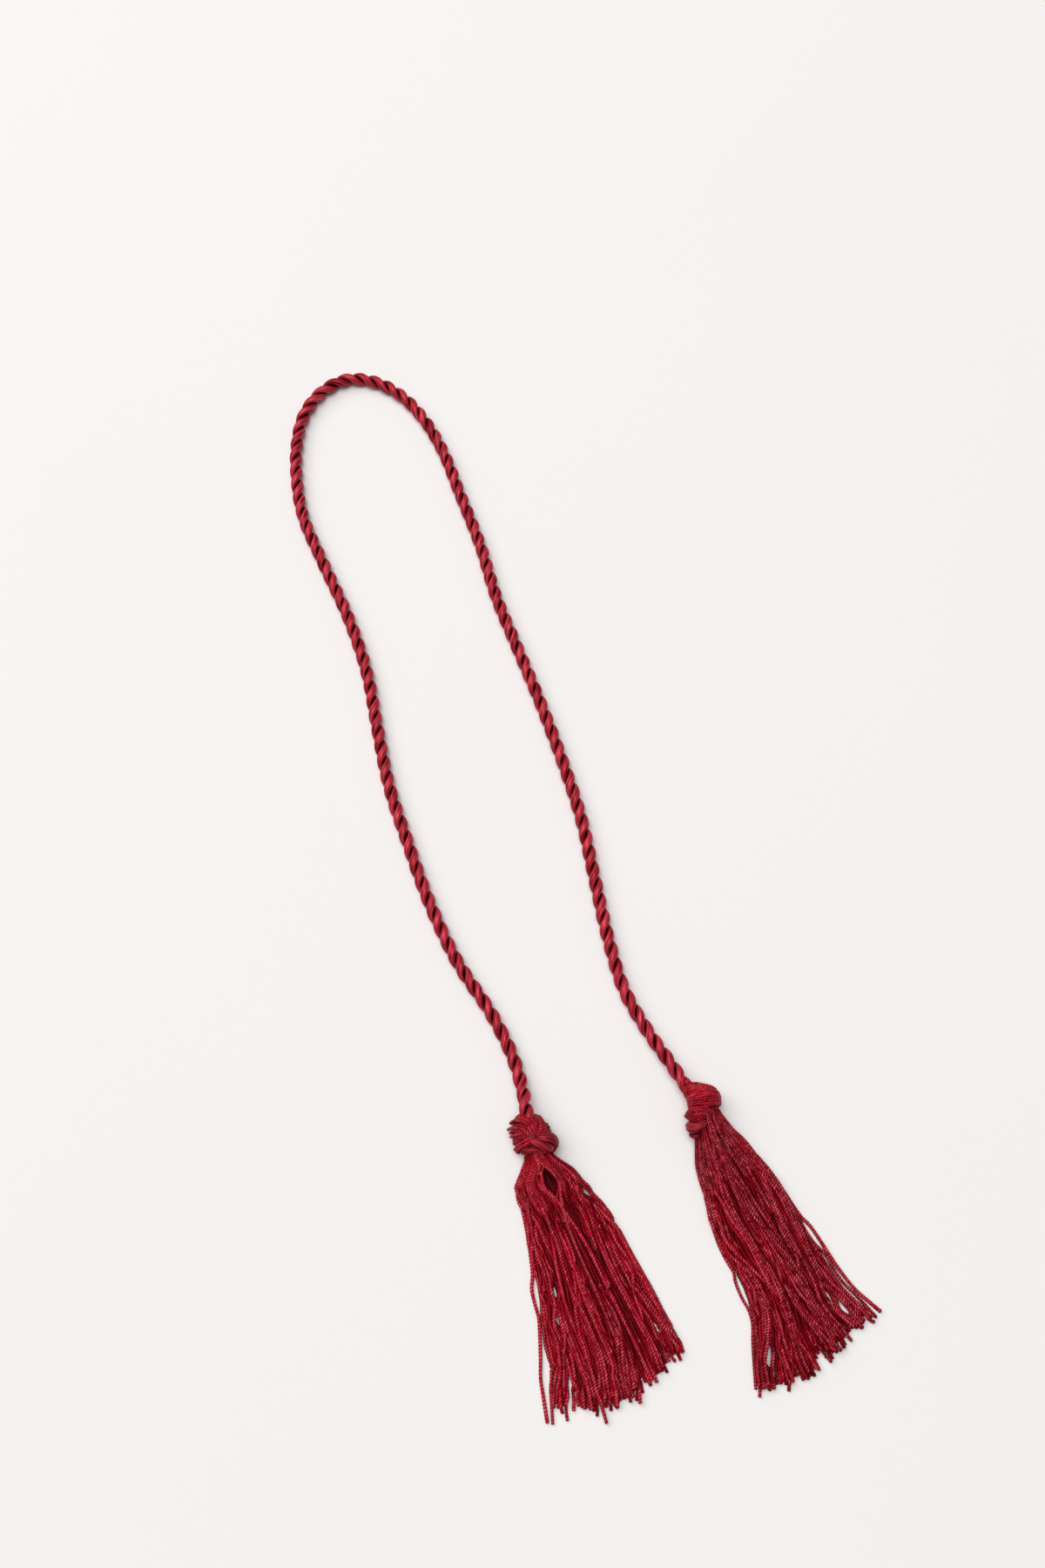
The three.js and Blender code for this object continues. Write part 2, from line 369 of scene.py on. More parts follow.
class Board:
    """The node tree of one material."""

    def __init__(self, name: str) -> None:
        """Starts an empty material.

        Args:
            name: Name of the material.
        """
        self.material = bpy.data.materials.new(name)
        self.material.use_nodes = True
        self.tree = self.material.node_tree
        self.tree.nodes.clear()

    def node(self, kind: str, settings: dict[str, Any], sockets: dict[Any, Any]) -> bpy.types.Node:
        """Adds a node.

        Args:
            kind: Blender's type name of the node.
            settings: Properties of the node, set before its sockets.
            sockets: Values or wires, by the name or number of an input.

        Returns:
            The new node.
        """
        made = self.tree.nodes.new(kind)
        for key, value in settings.items():
            setattr(made, key, value)
        for key, value in sockets.items():
            if isinstance(value, Wire):
                self.tree.links.new(value.socket, made.inputs[key])
            else:
                made.inputs[key].default_value = value
        return made

    def wire(
        self, kind: str, settings: dict[str, Any], sockets: dict[Any, Any], out: Any = 0
    ) -> Wire:
        """Adds a node and takes one of its outputs."""
        return Wire(self, self.node(kind, settings, sockets).outputs[out])

    def blend(self, share: Wire, low: Row | Wire, high: Row | Wire) -> Wire:
        """A colour between two others.

        Args:
            share: From the first colour at 0 to the second at 1.
            low: The first colour, in numbers or as a wire.
            high: The second colour, in numbers or as a wire.

        Returns:
            The colour between them.
        """
        settings = {"data_type": "RGBA", "clamp_factor": True}
        low, high = (end if isinstance(end, Wire) else (*end, 1.0) for end in (low, high))
        return self.wire("ShaderNodeMix", settings, {0: share, 6: low, 7: high}, 2)

    def noise(self, place: Wire, scale: float = 1.0, detail: float = 2.0) -> Wire:
        """Cloudy noise from 0 to 1."""
        sockets = {"Vector": place, "Scale": scale, "Detail": detail}
        return self.wire("ShaderNodeTexNoise", {"noise_dimensions": "3D"}, sockets)

    def stretched(self, place: Wire, scale: Row) -> Wire:
        """A place scaled by its own amount each way."""
        settings = {"operation": "MULTIPLY"}
        return self.wire("ShaderNodeVectorMath", settings, {0: place, 1: tuple(scale)})

    def value_of(self, attribute: str) -> Wire:
        """A number that the mesh carries."""
        return self.wire("ShaderNodeAttribute", {"attribute_name": attribute}, {}, "Fac")

    def done(
        self, sockets: dict[str, Any], bump: Wire, strength: float, height: float
    ) -> bpy.types.Material:
        """Closes the tree with a surface shader.

        Args:
            sockets: Inputs of the surface shader.
            bump: Height of the fine relief, from 0 to 1.
            strength: How far the relief turns the surface.
            height: Depth of the relief in metres.

        Returns:
            The material.
        """
        relief = {"Height": bump, "Strength": strength, "Distance": height}
        normal = self.wire("ShaderNodeBump", {}, relief)
        shader = self.wire("ShaderNodeBsdfPrincipled", {}, {**sockets, "Normal": normal})
        self.node("ShaderNodeOutputMaterial", {}, {"Surface": shader})
        return self.material


@dataclass(frozen=True)
class ThreadFinish:
    """What the yarn and the satin share: lustrous dyed thread, with painted shade in its grooves
    and painted highlights.
    """

    # deep is the darkest tone and the colour of the painted shade; bright is the colour of the
    # painted highlights.
    deep: Row
    clear: Row
    bright: Row
    gloss: Row
    specular: float
    rough_grain: float
    groove_shade: float
    relief: float
    relief_depth: float
    roughness: float = 0.32
    lustre: float = 0.30
    refraction: float = 1.60

    def thread(
        self, board: Board, shade: Wire, light: Wire, painted_shade_and_dull: Wire, grain: Wire
    ) -> bpy.types.Material:
        """Closes a material of thread.

        Args:
            board: The material's nodes so far.
            shade: From the deep colour at 0 to the clear one at 1.
            light: Painted highlight, from that colour at 0 to the bright one at 1.
            painted_shade_and_dull: Painted shade in grooves, creases and under other strands, with
                some even darkening of the thread's own, from 0 to 1.
            grain: The thread's fine lines, from 0 to 1.

        Returns:
            The material.
        """
        # Body colour, then painted highlight toward the bright colour, then painted shade toward
        # the deep colour.
        body = board.blend(shade, self.deep, self.clear)
        lit = board.blend(light, body, self.bright)
        sockets = {
            "Base Color": board.blend(self.groove_shade * painted_shade_and_dull, lit, self.deep),
            "Roughness": self.roughness + self.rough_grain * (1 - grain),
            "Metallic": self.lustre,
            "IOR": self.refraction,
            "Specular IOR Level": self.specular,
            "Specular Tint": self.gloss,
        }
        return board.done(sockets, grain, self.relief, self.relief_depth)


@dataclass(frozen=True)
class YarnFinish(ThreadFinish):
    """Dyed two-ply rayon yarn: a soft real gloss, and painted highlights on its beads."""

    deep: Row = (0.085, 0.0001, 0.0016)
    clear: Row = (0.580, 0.0040, 0.0230)
    bright: Row = (0.720, 0.125, 0.172)
    gloss: Row = (1.0, 0.32, 0.42, 1.0)
    specular: float = 0.12
    rough_grain: float = 0.12
    groove_shade: float = 0.85
    relief: float = 0.45
    relief_depth: float = 0.00008
    fibre_grain: Row = (14.0, 1.6, 1.0)
    patch_scale: float = 160.0
    glint_scales: Row = (380.0, 1100.0)
    glint_shares: Row = (0.35, 0.65)
    tone_share: float = 0.42
    patch_share: float = 0.40
    fibre_share: float = 0.45
    glint_share: float = 0.3
    dark_from: float = 0.24
    crest_width: float = 1.6
    crest_glints: float = 3.0
    crest_fibres: float = 0.6
    crest_from: float = 1.42

    def material(self) -> bpy.types.Material:
        """Makes the material.

        Returns:
            The material, which reads the strands' own tone, their painted shade and the length map.
        """
        board = Board("twisted_yarn")
        place = board.wire("ShaderNodeTexCoord", {}, {}, "Object")
        flat = board.wire("ShaderNodeUVMap", {"uv_map": "length_map"}, {})
        fibres = board.noise(board.stretched(flat, self.fibre_grain))
        patch = board.noise(place, self.patch_scale)
        # Glints: noise that paints sparkle on the beads, into the body colour and into the painted
        # highlight.
        broad, fine = (
            share * board.noise(place, scale, detail=1.0)
            for share, scale in zip(self.glint_shares, self.glint_scales)
        )
        glint = broad + fine
        painted_shade_and_dull = board.value_of("painted_shade_and_dull")
        tone = self.tone_share * board.value_of("tone") + self.patch_share * patch
        shade = tone + self.fibre_share * fibres + self.glint_share * glint - self.dark_from
        # Painted highlight on the crests of the plies, none in the grooves or under other strands,
        # scattered by the glints and the fibres.
        crest = (1 - self.crest_width * painted_shade_and_dull) ** 2.0
        sparkle = self.crest_glints * glint + self.crest_fibres * fibres - self.crest_from
        return self.thread(board, shade, crest * sparkle, painted_shade_and_dull, fibres)


@dataclass(frozen=True)
class SatinFinish(ThreadFinish):
    """Filament satin wound along each ply: glossy, with painted highlight streaks along its fine
    lines.
    """

    deep: Row = (0.040, 0.0003, 0.0020)
    clear: Row = (0.520, 0.0110, 0.0310)
    bright: Row = (0.700, 0.090, 0.125)
    gloss: Row = (1.0, 0.42, 0.48, 1.0)
    specular: float = 0.2
    rough_grain: float = 0.16
    groove_shade: float = 0.92
    relief: float = 0.7
    relief_depth: float = 0.00025
    line_grain: Row = (14.0, 0.10, 1.0)
    streak_grain: Row = (5.0, 0.16, 1.0)
    shade_mix: Row = (1.9, 0.8, 0.75)
    light_mix: Row = (1.6, 0.8, 1.0)

    def material(self) -> bpy.types.Material:
        """Makes the material.

        Returns:
            The material, which reads the plies' painted shade and the length map.
        """
        board = Board("satin_cord")
        flat = board.wire("ShaderNodeUVMap", {"uv_map": "length_map"}, {})
        lines = board.noise(board.stretched(flat, self.line_grain), detail=3.0)
        streaks = board.noise(board.stretched(flat, self.streak_grain))
        # The light term paints highlight streaks along the satin's lines, toward the bright colour.
        shade, light = (
            of_lines * lines + of_streaks * streaks - least
            for of_lines, of_streaks, least in (self.shade_mix, self.light_mix)
        )
        return self.thread(board, shade, light, board.value_of("painted_shade_and_dull"), lines)


@dataclass(frozen=True)
class FloorFinish:
    """A plain, slightly warm white surface."""

    light: Row = (0.826, 0.822, 0.817)
    faint: Row = (0.812, 0.808, 0.803)
    cloud_scale: float = 6.0
    grain_scale: float = 900.0
    roughness: float = 0.85
    rough_clouds: float = 0.1
    specular: float = 0.15
    relief: float = 0.02
    relief_depth: float = 0.0001

    def material(self) -> bpy.types.Material:
        """Makes the material.

        Returns:
            The material, clouded so faintly that it reads as plain.
        """
        board = Board("pale_surface")
        place = board.wire("ShaderNodeTexCoord", {}, {}, "Object")
        cloud = board.noise(place, self.cloud_scale)
        sockets = {
            "Base Color": board.blend(cloud, self.faint, self.light),
            "Roughness": self.roughness + self.rough_clouds * cloud,
            "Specular IOR Level": self.specular,
        }
        grain = board.noise(place, self.grain_scale)
        return board.done(sockets, grain, self.relief, self.relief_depth)


def dressed(
    piece: bpy.types.Object, finish: bpy.types.Material, nodes: Sequence[str]
) -> bpy.types.Object:
    """Gives a piece its finish and its place in the frame.

    Args:
        piece: The new piece.
        finish: Its material.
        nodes: The solids that it stands for.

    Returns:
        The same piece.
    """
    piece.data.materials.append(finish)
    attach(piece, "root")
    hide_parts(*nodes)
    LOG.info("%s: %d faces", piece.name, len(piece.data.polygons))
    return piece


# The stage


@dataclass
class Stage:
    """The camera over the surface, the surface and the soft light."""

    aim: Row = (-48.63, 140.25, 0.0)
    rise_deg: float = 72.0
    distance: float = 482.0
    lens: float = 35.0
    sensor: float = 36.0
    nearest: float = 10.0
    floor_half: float = 3000.0
    floor_cells: int = 8
    lit_place: Row = (-30.0, 60.0, 0.0)
    key_from: Row = (-2640.0, 2130.0, 3750.0)
    key_size: float = 5100.0
    key_watts: float = 155.0
    ceiling_from: Row = (-370.0, 340.0, 5100.0)
    ceiling_size: float = 3600.0
    ceiling_watts: float = 142.5
    sky: Row = (1.0, 0.985, 0.972)
    sky_strength: float = 0.253

    def camera(self) -> None:
        """Sets the camera at the viewing angle."""
        data = bpy.data.cameras.new("viewing_camera")
        data.lens = self.lens
        data.sensor_width = self.sensor
        data.clip_start = self.nearest * MM
        rise = math.radians(self.rise_deg)
        back = Vector((0.0, -math.cos(rise), math.sin(rise))) * self.distance
        seen = linked("viewing_camera", data)
        seen.location = (Vector(self.aim) + back) * MM
        seen.rotation_euler = (math.pi / 2 - rise, 0.0, 0.0)
        bpy.context.scene.camera = seen

    def floor(self, finish: bpy.types.Material) -> None:
        """Lays the surface under the object.

        Args:
            finish: Material of the surface.
        """
        shape = bmesh.new()
        cells, half = self.floor_cells, self.floor_half * MM
        bmesh.ops.create_grid(shape, x_segments=cells, y_segments=cells, size=half)
        mesh = bpy.data.meshes.new("surface")
        shape.to_mesh(mesh)
        shape.free()
        mesh.materials.append(finish)
        linked("surface", mesh)

    def lights(self) -> None:
        """Hangs a broad light at the upper left, a bright ceiling and a dim sky."""
        self._lamp("broad_light", self.key_from, self.key_size, self.key_watts)
        self._lamp("ceiling_light", self.ceiling_from, self.ceiling_size, self.ceiling_watts)
        world = bpy.data.worlds.new("even_sky")
        world.use_nodes = True
        sky = world.node_tree.nodes["Background"]
        sky.inputs["Color"].default_value = (*self.sky, 1.0)
        sky.inputs["Strength"].default_value = self.sky_strength
        bpy.context.scene.world = world
        bpy.context.scene.view_settings.view_transform = "Standard"

    def _lamp(self, name: str, place: Row, size: float, watts: float) -> None:
        """Hangs one round light that faces the tassels.

        Args:
            name: Name of the light.
            place: Where it hangs.
            size: Width of its disk.
            watts: Its power.
        """
        data = bpy.data.lights.new(name, "AREA")
        data.shape = "DISK"
        data.size = size * MM
        data.energy = watts
        data.color = self.sky
        lamp = linked(name, data)
        lamp.location = Vector(place) * MM
        towards = Vector(self.lit_place) - Vector(place)
        lamp.rotation_euler = towards.to_track_quat("-Z", "Y").to_euler()


# The cord


CORD_ROUTE: Rows = (
    (-46.6, 34.2, 5.9), (-47.0, 36.0, 7.3), (-47.6, 38.4, 6.9), (-48.4, 43.3, 4.5),
    (-51.5, 54.0, 2.5), (-57.7, 66.5, 2.3), (-68.6, 83.2, 2.3), (-77.2, 101.2, 2.3),
    (-84.2, 120.0, 2.3), (-90.6, 138.9, 2.3), (-94.9, 158.5, 2.3), (-99.0, 178.0, 2.3),
    (-105.6, 196.9, 2.3), (-113.9, 215.0, 2.3), (-121.8, 233.3, 2.3), (-124.6, 247.2, 2.3),
    (-125.2, 260.1, 2.3), (-123.3, 271.8, 2.3), (-117.5, 281.0, 2.3), (-108.9, 285.9, 2.3),
    (-99.1, 284.8, 2.3), (-89.9, 279.2, 2.3), (-82.1, 270.0, 2.3), (-75.5, 257.8, 2.3),
    (-69.6, 241.8, 2.3), (-62.7, 223.0, 2.3), (-57.2, 203.9, 2.3), (-50.0, 185.2, 2.3),
    (-42.8, 166.6, 2.3), (-36.2, 147.7, 2.3), (-30.4, 128.6, 2.3), (-26.4, 109.0, 2.3),
    (-22.4, 89.5, 2.3), (-17.9, 74.1, 2.3), (-11.2, 61.8, 2.5), (-5.1, 52.5, 3.7),
    (-0.23, 44.89, 4.6), (1.7, 42.0, 5.2),
)


@dataclass
class TwistedCord:
    """Two satin plies laid round each other, from one knot to the other."""

    route: Rows = CORD_ROUTE
    diameter: float = 4.5
    spread: float = 4.45
    ply: float = 2.16
    squeeze: float = 0.90
    turns: float = 53.35
    first_turn: float = -0.42
    steps_per_turn: int = 24
    corners: int = 20
    ply_turns: float = -22.0
    pressed: float = 0.04
    inner_taper: float = 0.25
    # Gain and offset of the painted shade on the plies' inner sides.
    painted_groove_shade: Row = (1.9, 0.1)
    path_points: int = 400

    def line(self, count: int) -> np.ndarray:
        """The middle of the cord as evenly spaced points."""
        return bent_through(self.route, count)

    def build(self) -> bpy.types.Object:
        """Sweeps the two plies along the route.

        Returns:
            The cord as one mesh.
        """
        count = int(self.turns * self.steps_per_turn) + 1
        middle = self.line(count)
        ahead = unit(np.gradient(middle, axis=0))
        across = unit(np.cross([0.0, 0.0, 1.0], ahead))
        lift = np.cross(ahead, across)
        share = np.linspace(0, 1, count)
        joined = StrandMesh()
        helix, radius = (self.spread - self.ply) / 2, self.ply / 2
        wound = FULL_TURN * (np.arange(self.corners) / self.corners)
        spin = FULL_TURN * self.ply_turns * share
        angle = wound[None, :] + spin[:, None]
        inner = np.clip(-np.cos(angle), 0, 1)
        flat = np.where(inner > 0, helix + self.pressed, radius * self.squeeze)
        reach_out = np.cos(angle) * flat
        reach_side = np.sin(angle) * (1 - self.inner_taper * inner) * radius / self.squeeze
        gain, least = self.painted_groove_shade
        for half in (0.0, math.pi):
            turn = FULL_TURN * (self.first_turn + share * self.turns) + half
            out = across * np.cos(turn)[:, None] + lift * np.sin(turn)[:, None]
            path = middle + out * helix
            forward = unit(np.gradient(path, axis=0))
            side = unit(np.cross(forward, out))
            rings = (
                path[:, None]
                + out[:, None] * reach_out[..., None]
                + side[:, None] * reach_side[..., None]
            )
            rings = self._outward(rings, path)
            # Painted shade on each ply's inner side, where the two plies face each other; it stands
            # for the dark crevice between them.
            inward = -np.sum((rings - path[:, None]) * out[:, None], axis=2) / radius
            painted_shade_and_dull = np.clip(gain * inward - least, 0, 1)
            joined.add(rings[None], np.array([MIDDLE_TONE]), painted_shade_and_dull.ravel())
        return joined.piece("twisted_cord")

    @staticmethod
    def _outward(rings: np.ndarray, path: np.ndarray) -> np.ndarray:
        """The outlines in the order that makes faces point outwards.

        Args:
            rings: Outlines of one ply, shaped (rings, corners, 3).
            path: Middle of each outline.

        Returns:
            The outlines, turned round where they ran the other way.
        """
        ahead = path[1] - path[0]
        turn = np.cross(rings[0, 0] - path[0], rings[0, 1] - path[0])
        return rings if float(turn @ ahead) > 0 else rings[:, ::-1]

    def dress(self, finish: bpy.types.Material) -> bpy.types.Object:
        """Builds the cord and dresses it.

        Args:
            finish: The satin material.

        Returns:
            The cord.
        """
        made = dressed(self.build(), finish, ["cord"])
        return made


# The tassels


@dataclass(frozen=True)
class Yarn:
    """Two fine plies twisted together, which read as a row of beads."""

    thick: float = 1.06
    pitch: float = 1.70
    rings_per_turn: float = 7.0
    # Painted shade in the groove between the plies.
    painted_groove_shade: float = 0.6
    uneven: float = 0.10
    slip: float = 0.9
    slip_run: float = 4.3
    unlike: Row = (7.3, 3.1)
    outline: Rows = (
        (0.47, 0.20), (0.0, 0.42), (-0.47, 0.20), (-0.47, -0.20), (0.0, -0.42), (0.47, -0.20),
    )

    def painted_shade_and_dull(self) -> np.ndarray:
        """Painted shade of each corner of the outline, dark in the groove between the plies."""
        return np.array([self.painted_groove_shade * float(x == 0) for x, _ in self.outline])

    def spun(self, lines: np.ndarray, phase: np.ndarray, slim: np.ndarray) -> np.ndarray:
        """Twists yarn along many lines.

        Args:
            lines: Middles of the yarns, shaped (yarns, points, 3).
            phase: Turn at which each yarn starts, in radians.
            slim: Share of the full thickness at every point.

        Returns:
            Outlines, shaped (yarns, rings, corners, 3).
        """
        longest = float(run_of(lines)[:, -1].max())
        count = int(longest / self.pitch * self.rings_per_turn) + 1
        fine = finer(lines, count)
        across, lift = carried_frames(fine)
        run = run_of(fine)
        tight, loose = (often * phase[:, None] for often in self.unlike)
        turn = FULL_TURN * run / self.pitch * (1 + self.uneven * np.sin(tight)) + phase[:, None]
        turn += self.slip * np.sin(run / self.slip_run + loose)
        cos, sin = np.cos(turn)[..., None], np.sin(turn)[..., None]
        thin = finer(slim[..., None], count)[..., 0] * self.thick
        rings = np.empty((*fine.shape[:2], len(self.outline), 3))
        for k, (x, y) in enumerate(self.outline):
            offset = across * (x * cos - y * sin) + lift * (x * sin + y * cos)
            rings[:, :, k] = fine + offset * thin[..., None]
        return rings


def close_pairs(
    points: np.ndarray, owner: np.ndarray, apart: float
) -> tuple[np.ndarray, np.ndarray]:
    """Pairs of points on different strands that may lie close together.

    Args:
        points: Places, shaped (points, 3).
        owner: Number of the strand of each point.
        apart: Distance within which no pair may be missed.

    Returns:
        Numbers of the first and of the second point of each pair, each pair once.
    """
    cell = np.floor(points / apart).astype(np.int64)
    cell -= cell.min(axis=0) - 1
    size = cell.max(axis=0) + 2
    key = (cell[:, 0] * size[1] + cell[:, 1]) * size[2] + cell[:, 2]
    order = np.argsort(key, kind="stable")
    ranked = key[order]
    same, step = (0, 0, 0), (-1, 0, 1)
    after = [(x, y, z) for x in step for y in step for z in step if (x, y, z) > same]
    one, other = [], []
    for beside in (*after, same):
        x, y, z = beside
        wanted = key + (x * size[1] + y) * size[2] + z
        first = np.searchsorted(ranked, wanted, "left")
        found = np.searchsorted(ranked, wanted, "right") - first
        start = np.repeat(first - (np.cumsum(found) - found), found)
        a = np.repeat(np.arange(len(points)), found)
        b = order[start + np.arange(found.sum())]
        keep = owner[a] != owner[b]
        if beside == same:
            keep &= a < b
        one.append(a[keep])
        other.append(b[keep])
    return np.concatenate(one), np.concatenate(other)


def contact_push(points: np.ndarray, owner: np.ndarray, reach: np.ndarray) -> np.ndarray:
    """How far each point moves to clear the points of other strands.

    Args:
        points: Places, shaped (points, 3).
        owner: Number of the strand of each point.
        reach: Thickness of the strand at each point.

    Returns:
        Moves, shaped (points, 3).
    """
    least, total = 1e-3, len(points)
    a, b = close_pairs(points, owner, float(reach.max()))
    gap = points[a] - points[b]
    far = np.linalg.norm(gap, axis=1)
    limit = (reach[a] + reach[b]) / 2
    close = far < limit
    a, b, gap, far, limit = a[close], b[close], gap[close], far[close], limit[close]
    move = gap * ((limit - far) / (2 * np.maximum(far, least)))[:, None]
    push = np.zeros_like(points)
    count = np.bincount(a, minlength=total) + np.bincount(b, minlength=total)
    for axis in range(3):
        push[:, axis] = np.bincount(a, move[:, axis], total)
        push[:, axis] -= np.bincount(b, move[:, axis], total)
    return push / np.maximum(count, 1)[:, None] * np.minimum(count, 2)[:, None]


@dataclass(frozen=True)
class Settling:
    """How a heap of strands comes to rest on the surface and on itself, in rounds."""

    rounds: int = 60
    last_rounds: int = 25
    eases: Row = (0.5, 0.35)
    sag: float = 0.022
    smoothing: float = 0.12
    cohesion: float = 0.03
    draws_in: Rows = ((0.2, 0.0), (0.45, 1.0), (0.75, 0.8), (1.0, 0.15))
    neck_free: Rows = ((2.0, 0.0), (9.0, 1.0))
    gap_hold: Row = (0.3, 1.2, 0.1)
    least_free: float = 0.05
    edge_room: float = 0.3
    edge_pull: float = 0.6

    def settle(self, skirt: "Skirt", lines: np.ndarray, reach: np.ndarray) -> np.ndarray:
        """Lets the strands of a skirt come to rest.

        Args:
            skirt: The skirt, with its edges, gaps and strands laid from listed marks.
            lines: Points of the strands.
            reach: Thickness of the strands at every point.

        Returns:
            The settled points.
        """
        strands, points, _ = lines.shape
        owner = np.repeat(np.arange(strands), points)
        step = np.linalg.norm(np.diff(lines, axis=1), axis=2, keepdims=True)
        held = self._freedom(skirt, lines)
        free = np.ones(strands, bool)
        free[skirt.hand_laid()] = False
        start = lines.copy()
        for turn in range(self.rounds):
            ease = self.eases[int(turn >= self.rounds - self.last_rounds)]
            lines[..., 2] -= self.sag * held[..., 0]
            push = contact_push(lines.reshape(-1, 3), owner, reach.ravel()).reshape(lines.shape)
            lines = lines + push * ease * held
            lines = lines + self._drawn_in(skirt, lines, held)
            lines[..., 2] = np.maximum(lines[..., 2], reach / 2)
            along, side = lines[free, :, 0], lines[free, :, 1]
            low, high = skirt.sides(along)
            within = np.clip(side, low + self.edge_room, high - self.edge_room)
            lines[free, :, 1] = side + self.edge_pull * (within - side)
            between = (lines[:, :-2] + lines[:, 2:]) / 2
            lines[:, 1:-1] += self.smoothing * (between - lines[:, 1:-1])
            lines = start + (lines - start) * np.maximum(held, self.least_free)
            for k in range(1, points):
                ahead = lines[:, k] - lines[:, k - 1]
                far = np.linalg.norm(ahead, axis=1, keepdims=True)
                lines[:, k] = lines[:, k - 1] + ahead * (step[:, k - 1] / np.maximum(far, 1e-6))
        return lines

    def _freedom(self, skirt: "Skirt", lines: np.ndarray) -> np.ndarray:
        """How far every point may move: less at the neck and round the gaps.

        Args:
            skirt: The skirt.
            lines: Points of the strands.

        Returns:
            Shares from 0 to 1, shaped (strands, points, 1), 0 for a strand laid from listed marks.
        """
        held = looked_up(self.neck_free, lines[..., 0])[..., None]
        held[skirt.hand_laid()] = 0.0
        long, wide, least = self.gap_hold
        for along, side, length, width, _ in skirt.partings:
            far_along = (lines[..., 0] - along) ** 2 / (long * length**2)
            far_aside = (lines[..., 1] - side) ** 2 / (wide * width**2)
            held = held * np.clip(far_along + far_aside, least, 1.0)[..., None]
        return held

    def _drawn_in(self, skirt: "Skirt", lines: np.ndarray, held: np.ndarray) -> np.ndarray:
        """How far the strands of each lock draw together in one round.

        Args:
            skirt: The skirt.
            lines: Points of the strands.
            held: Freedom of every point to move.

        Returns:
            Moves, shaped like the lines.
        """
        together = skirt.locks * skirt.in_lock
        grouped = lines[:together].reshape(skirt.locks, skirt.in_lock, skirt.points, 3)
        towards = np.zeros_like(lines)
        inward = grouped.mean(axis=1, keepdims=True) - grouped
        towards[:together] = inward.reshape(-1, skirt.points, 3)
        towards[..., 0] = 0.0
        ease = looked_up(self.draws_in, np.linspace(0, 1, skirt.points))
        return towards * held * (self.cohesion * ease)[None, :, None]


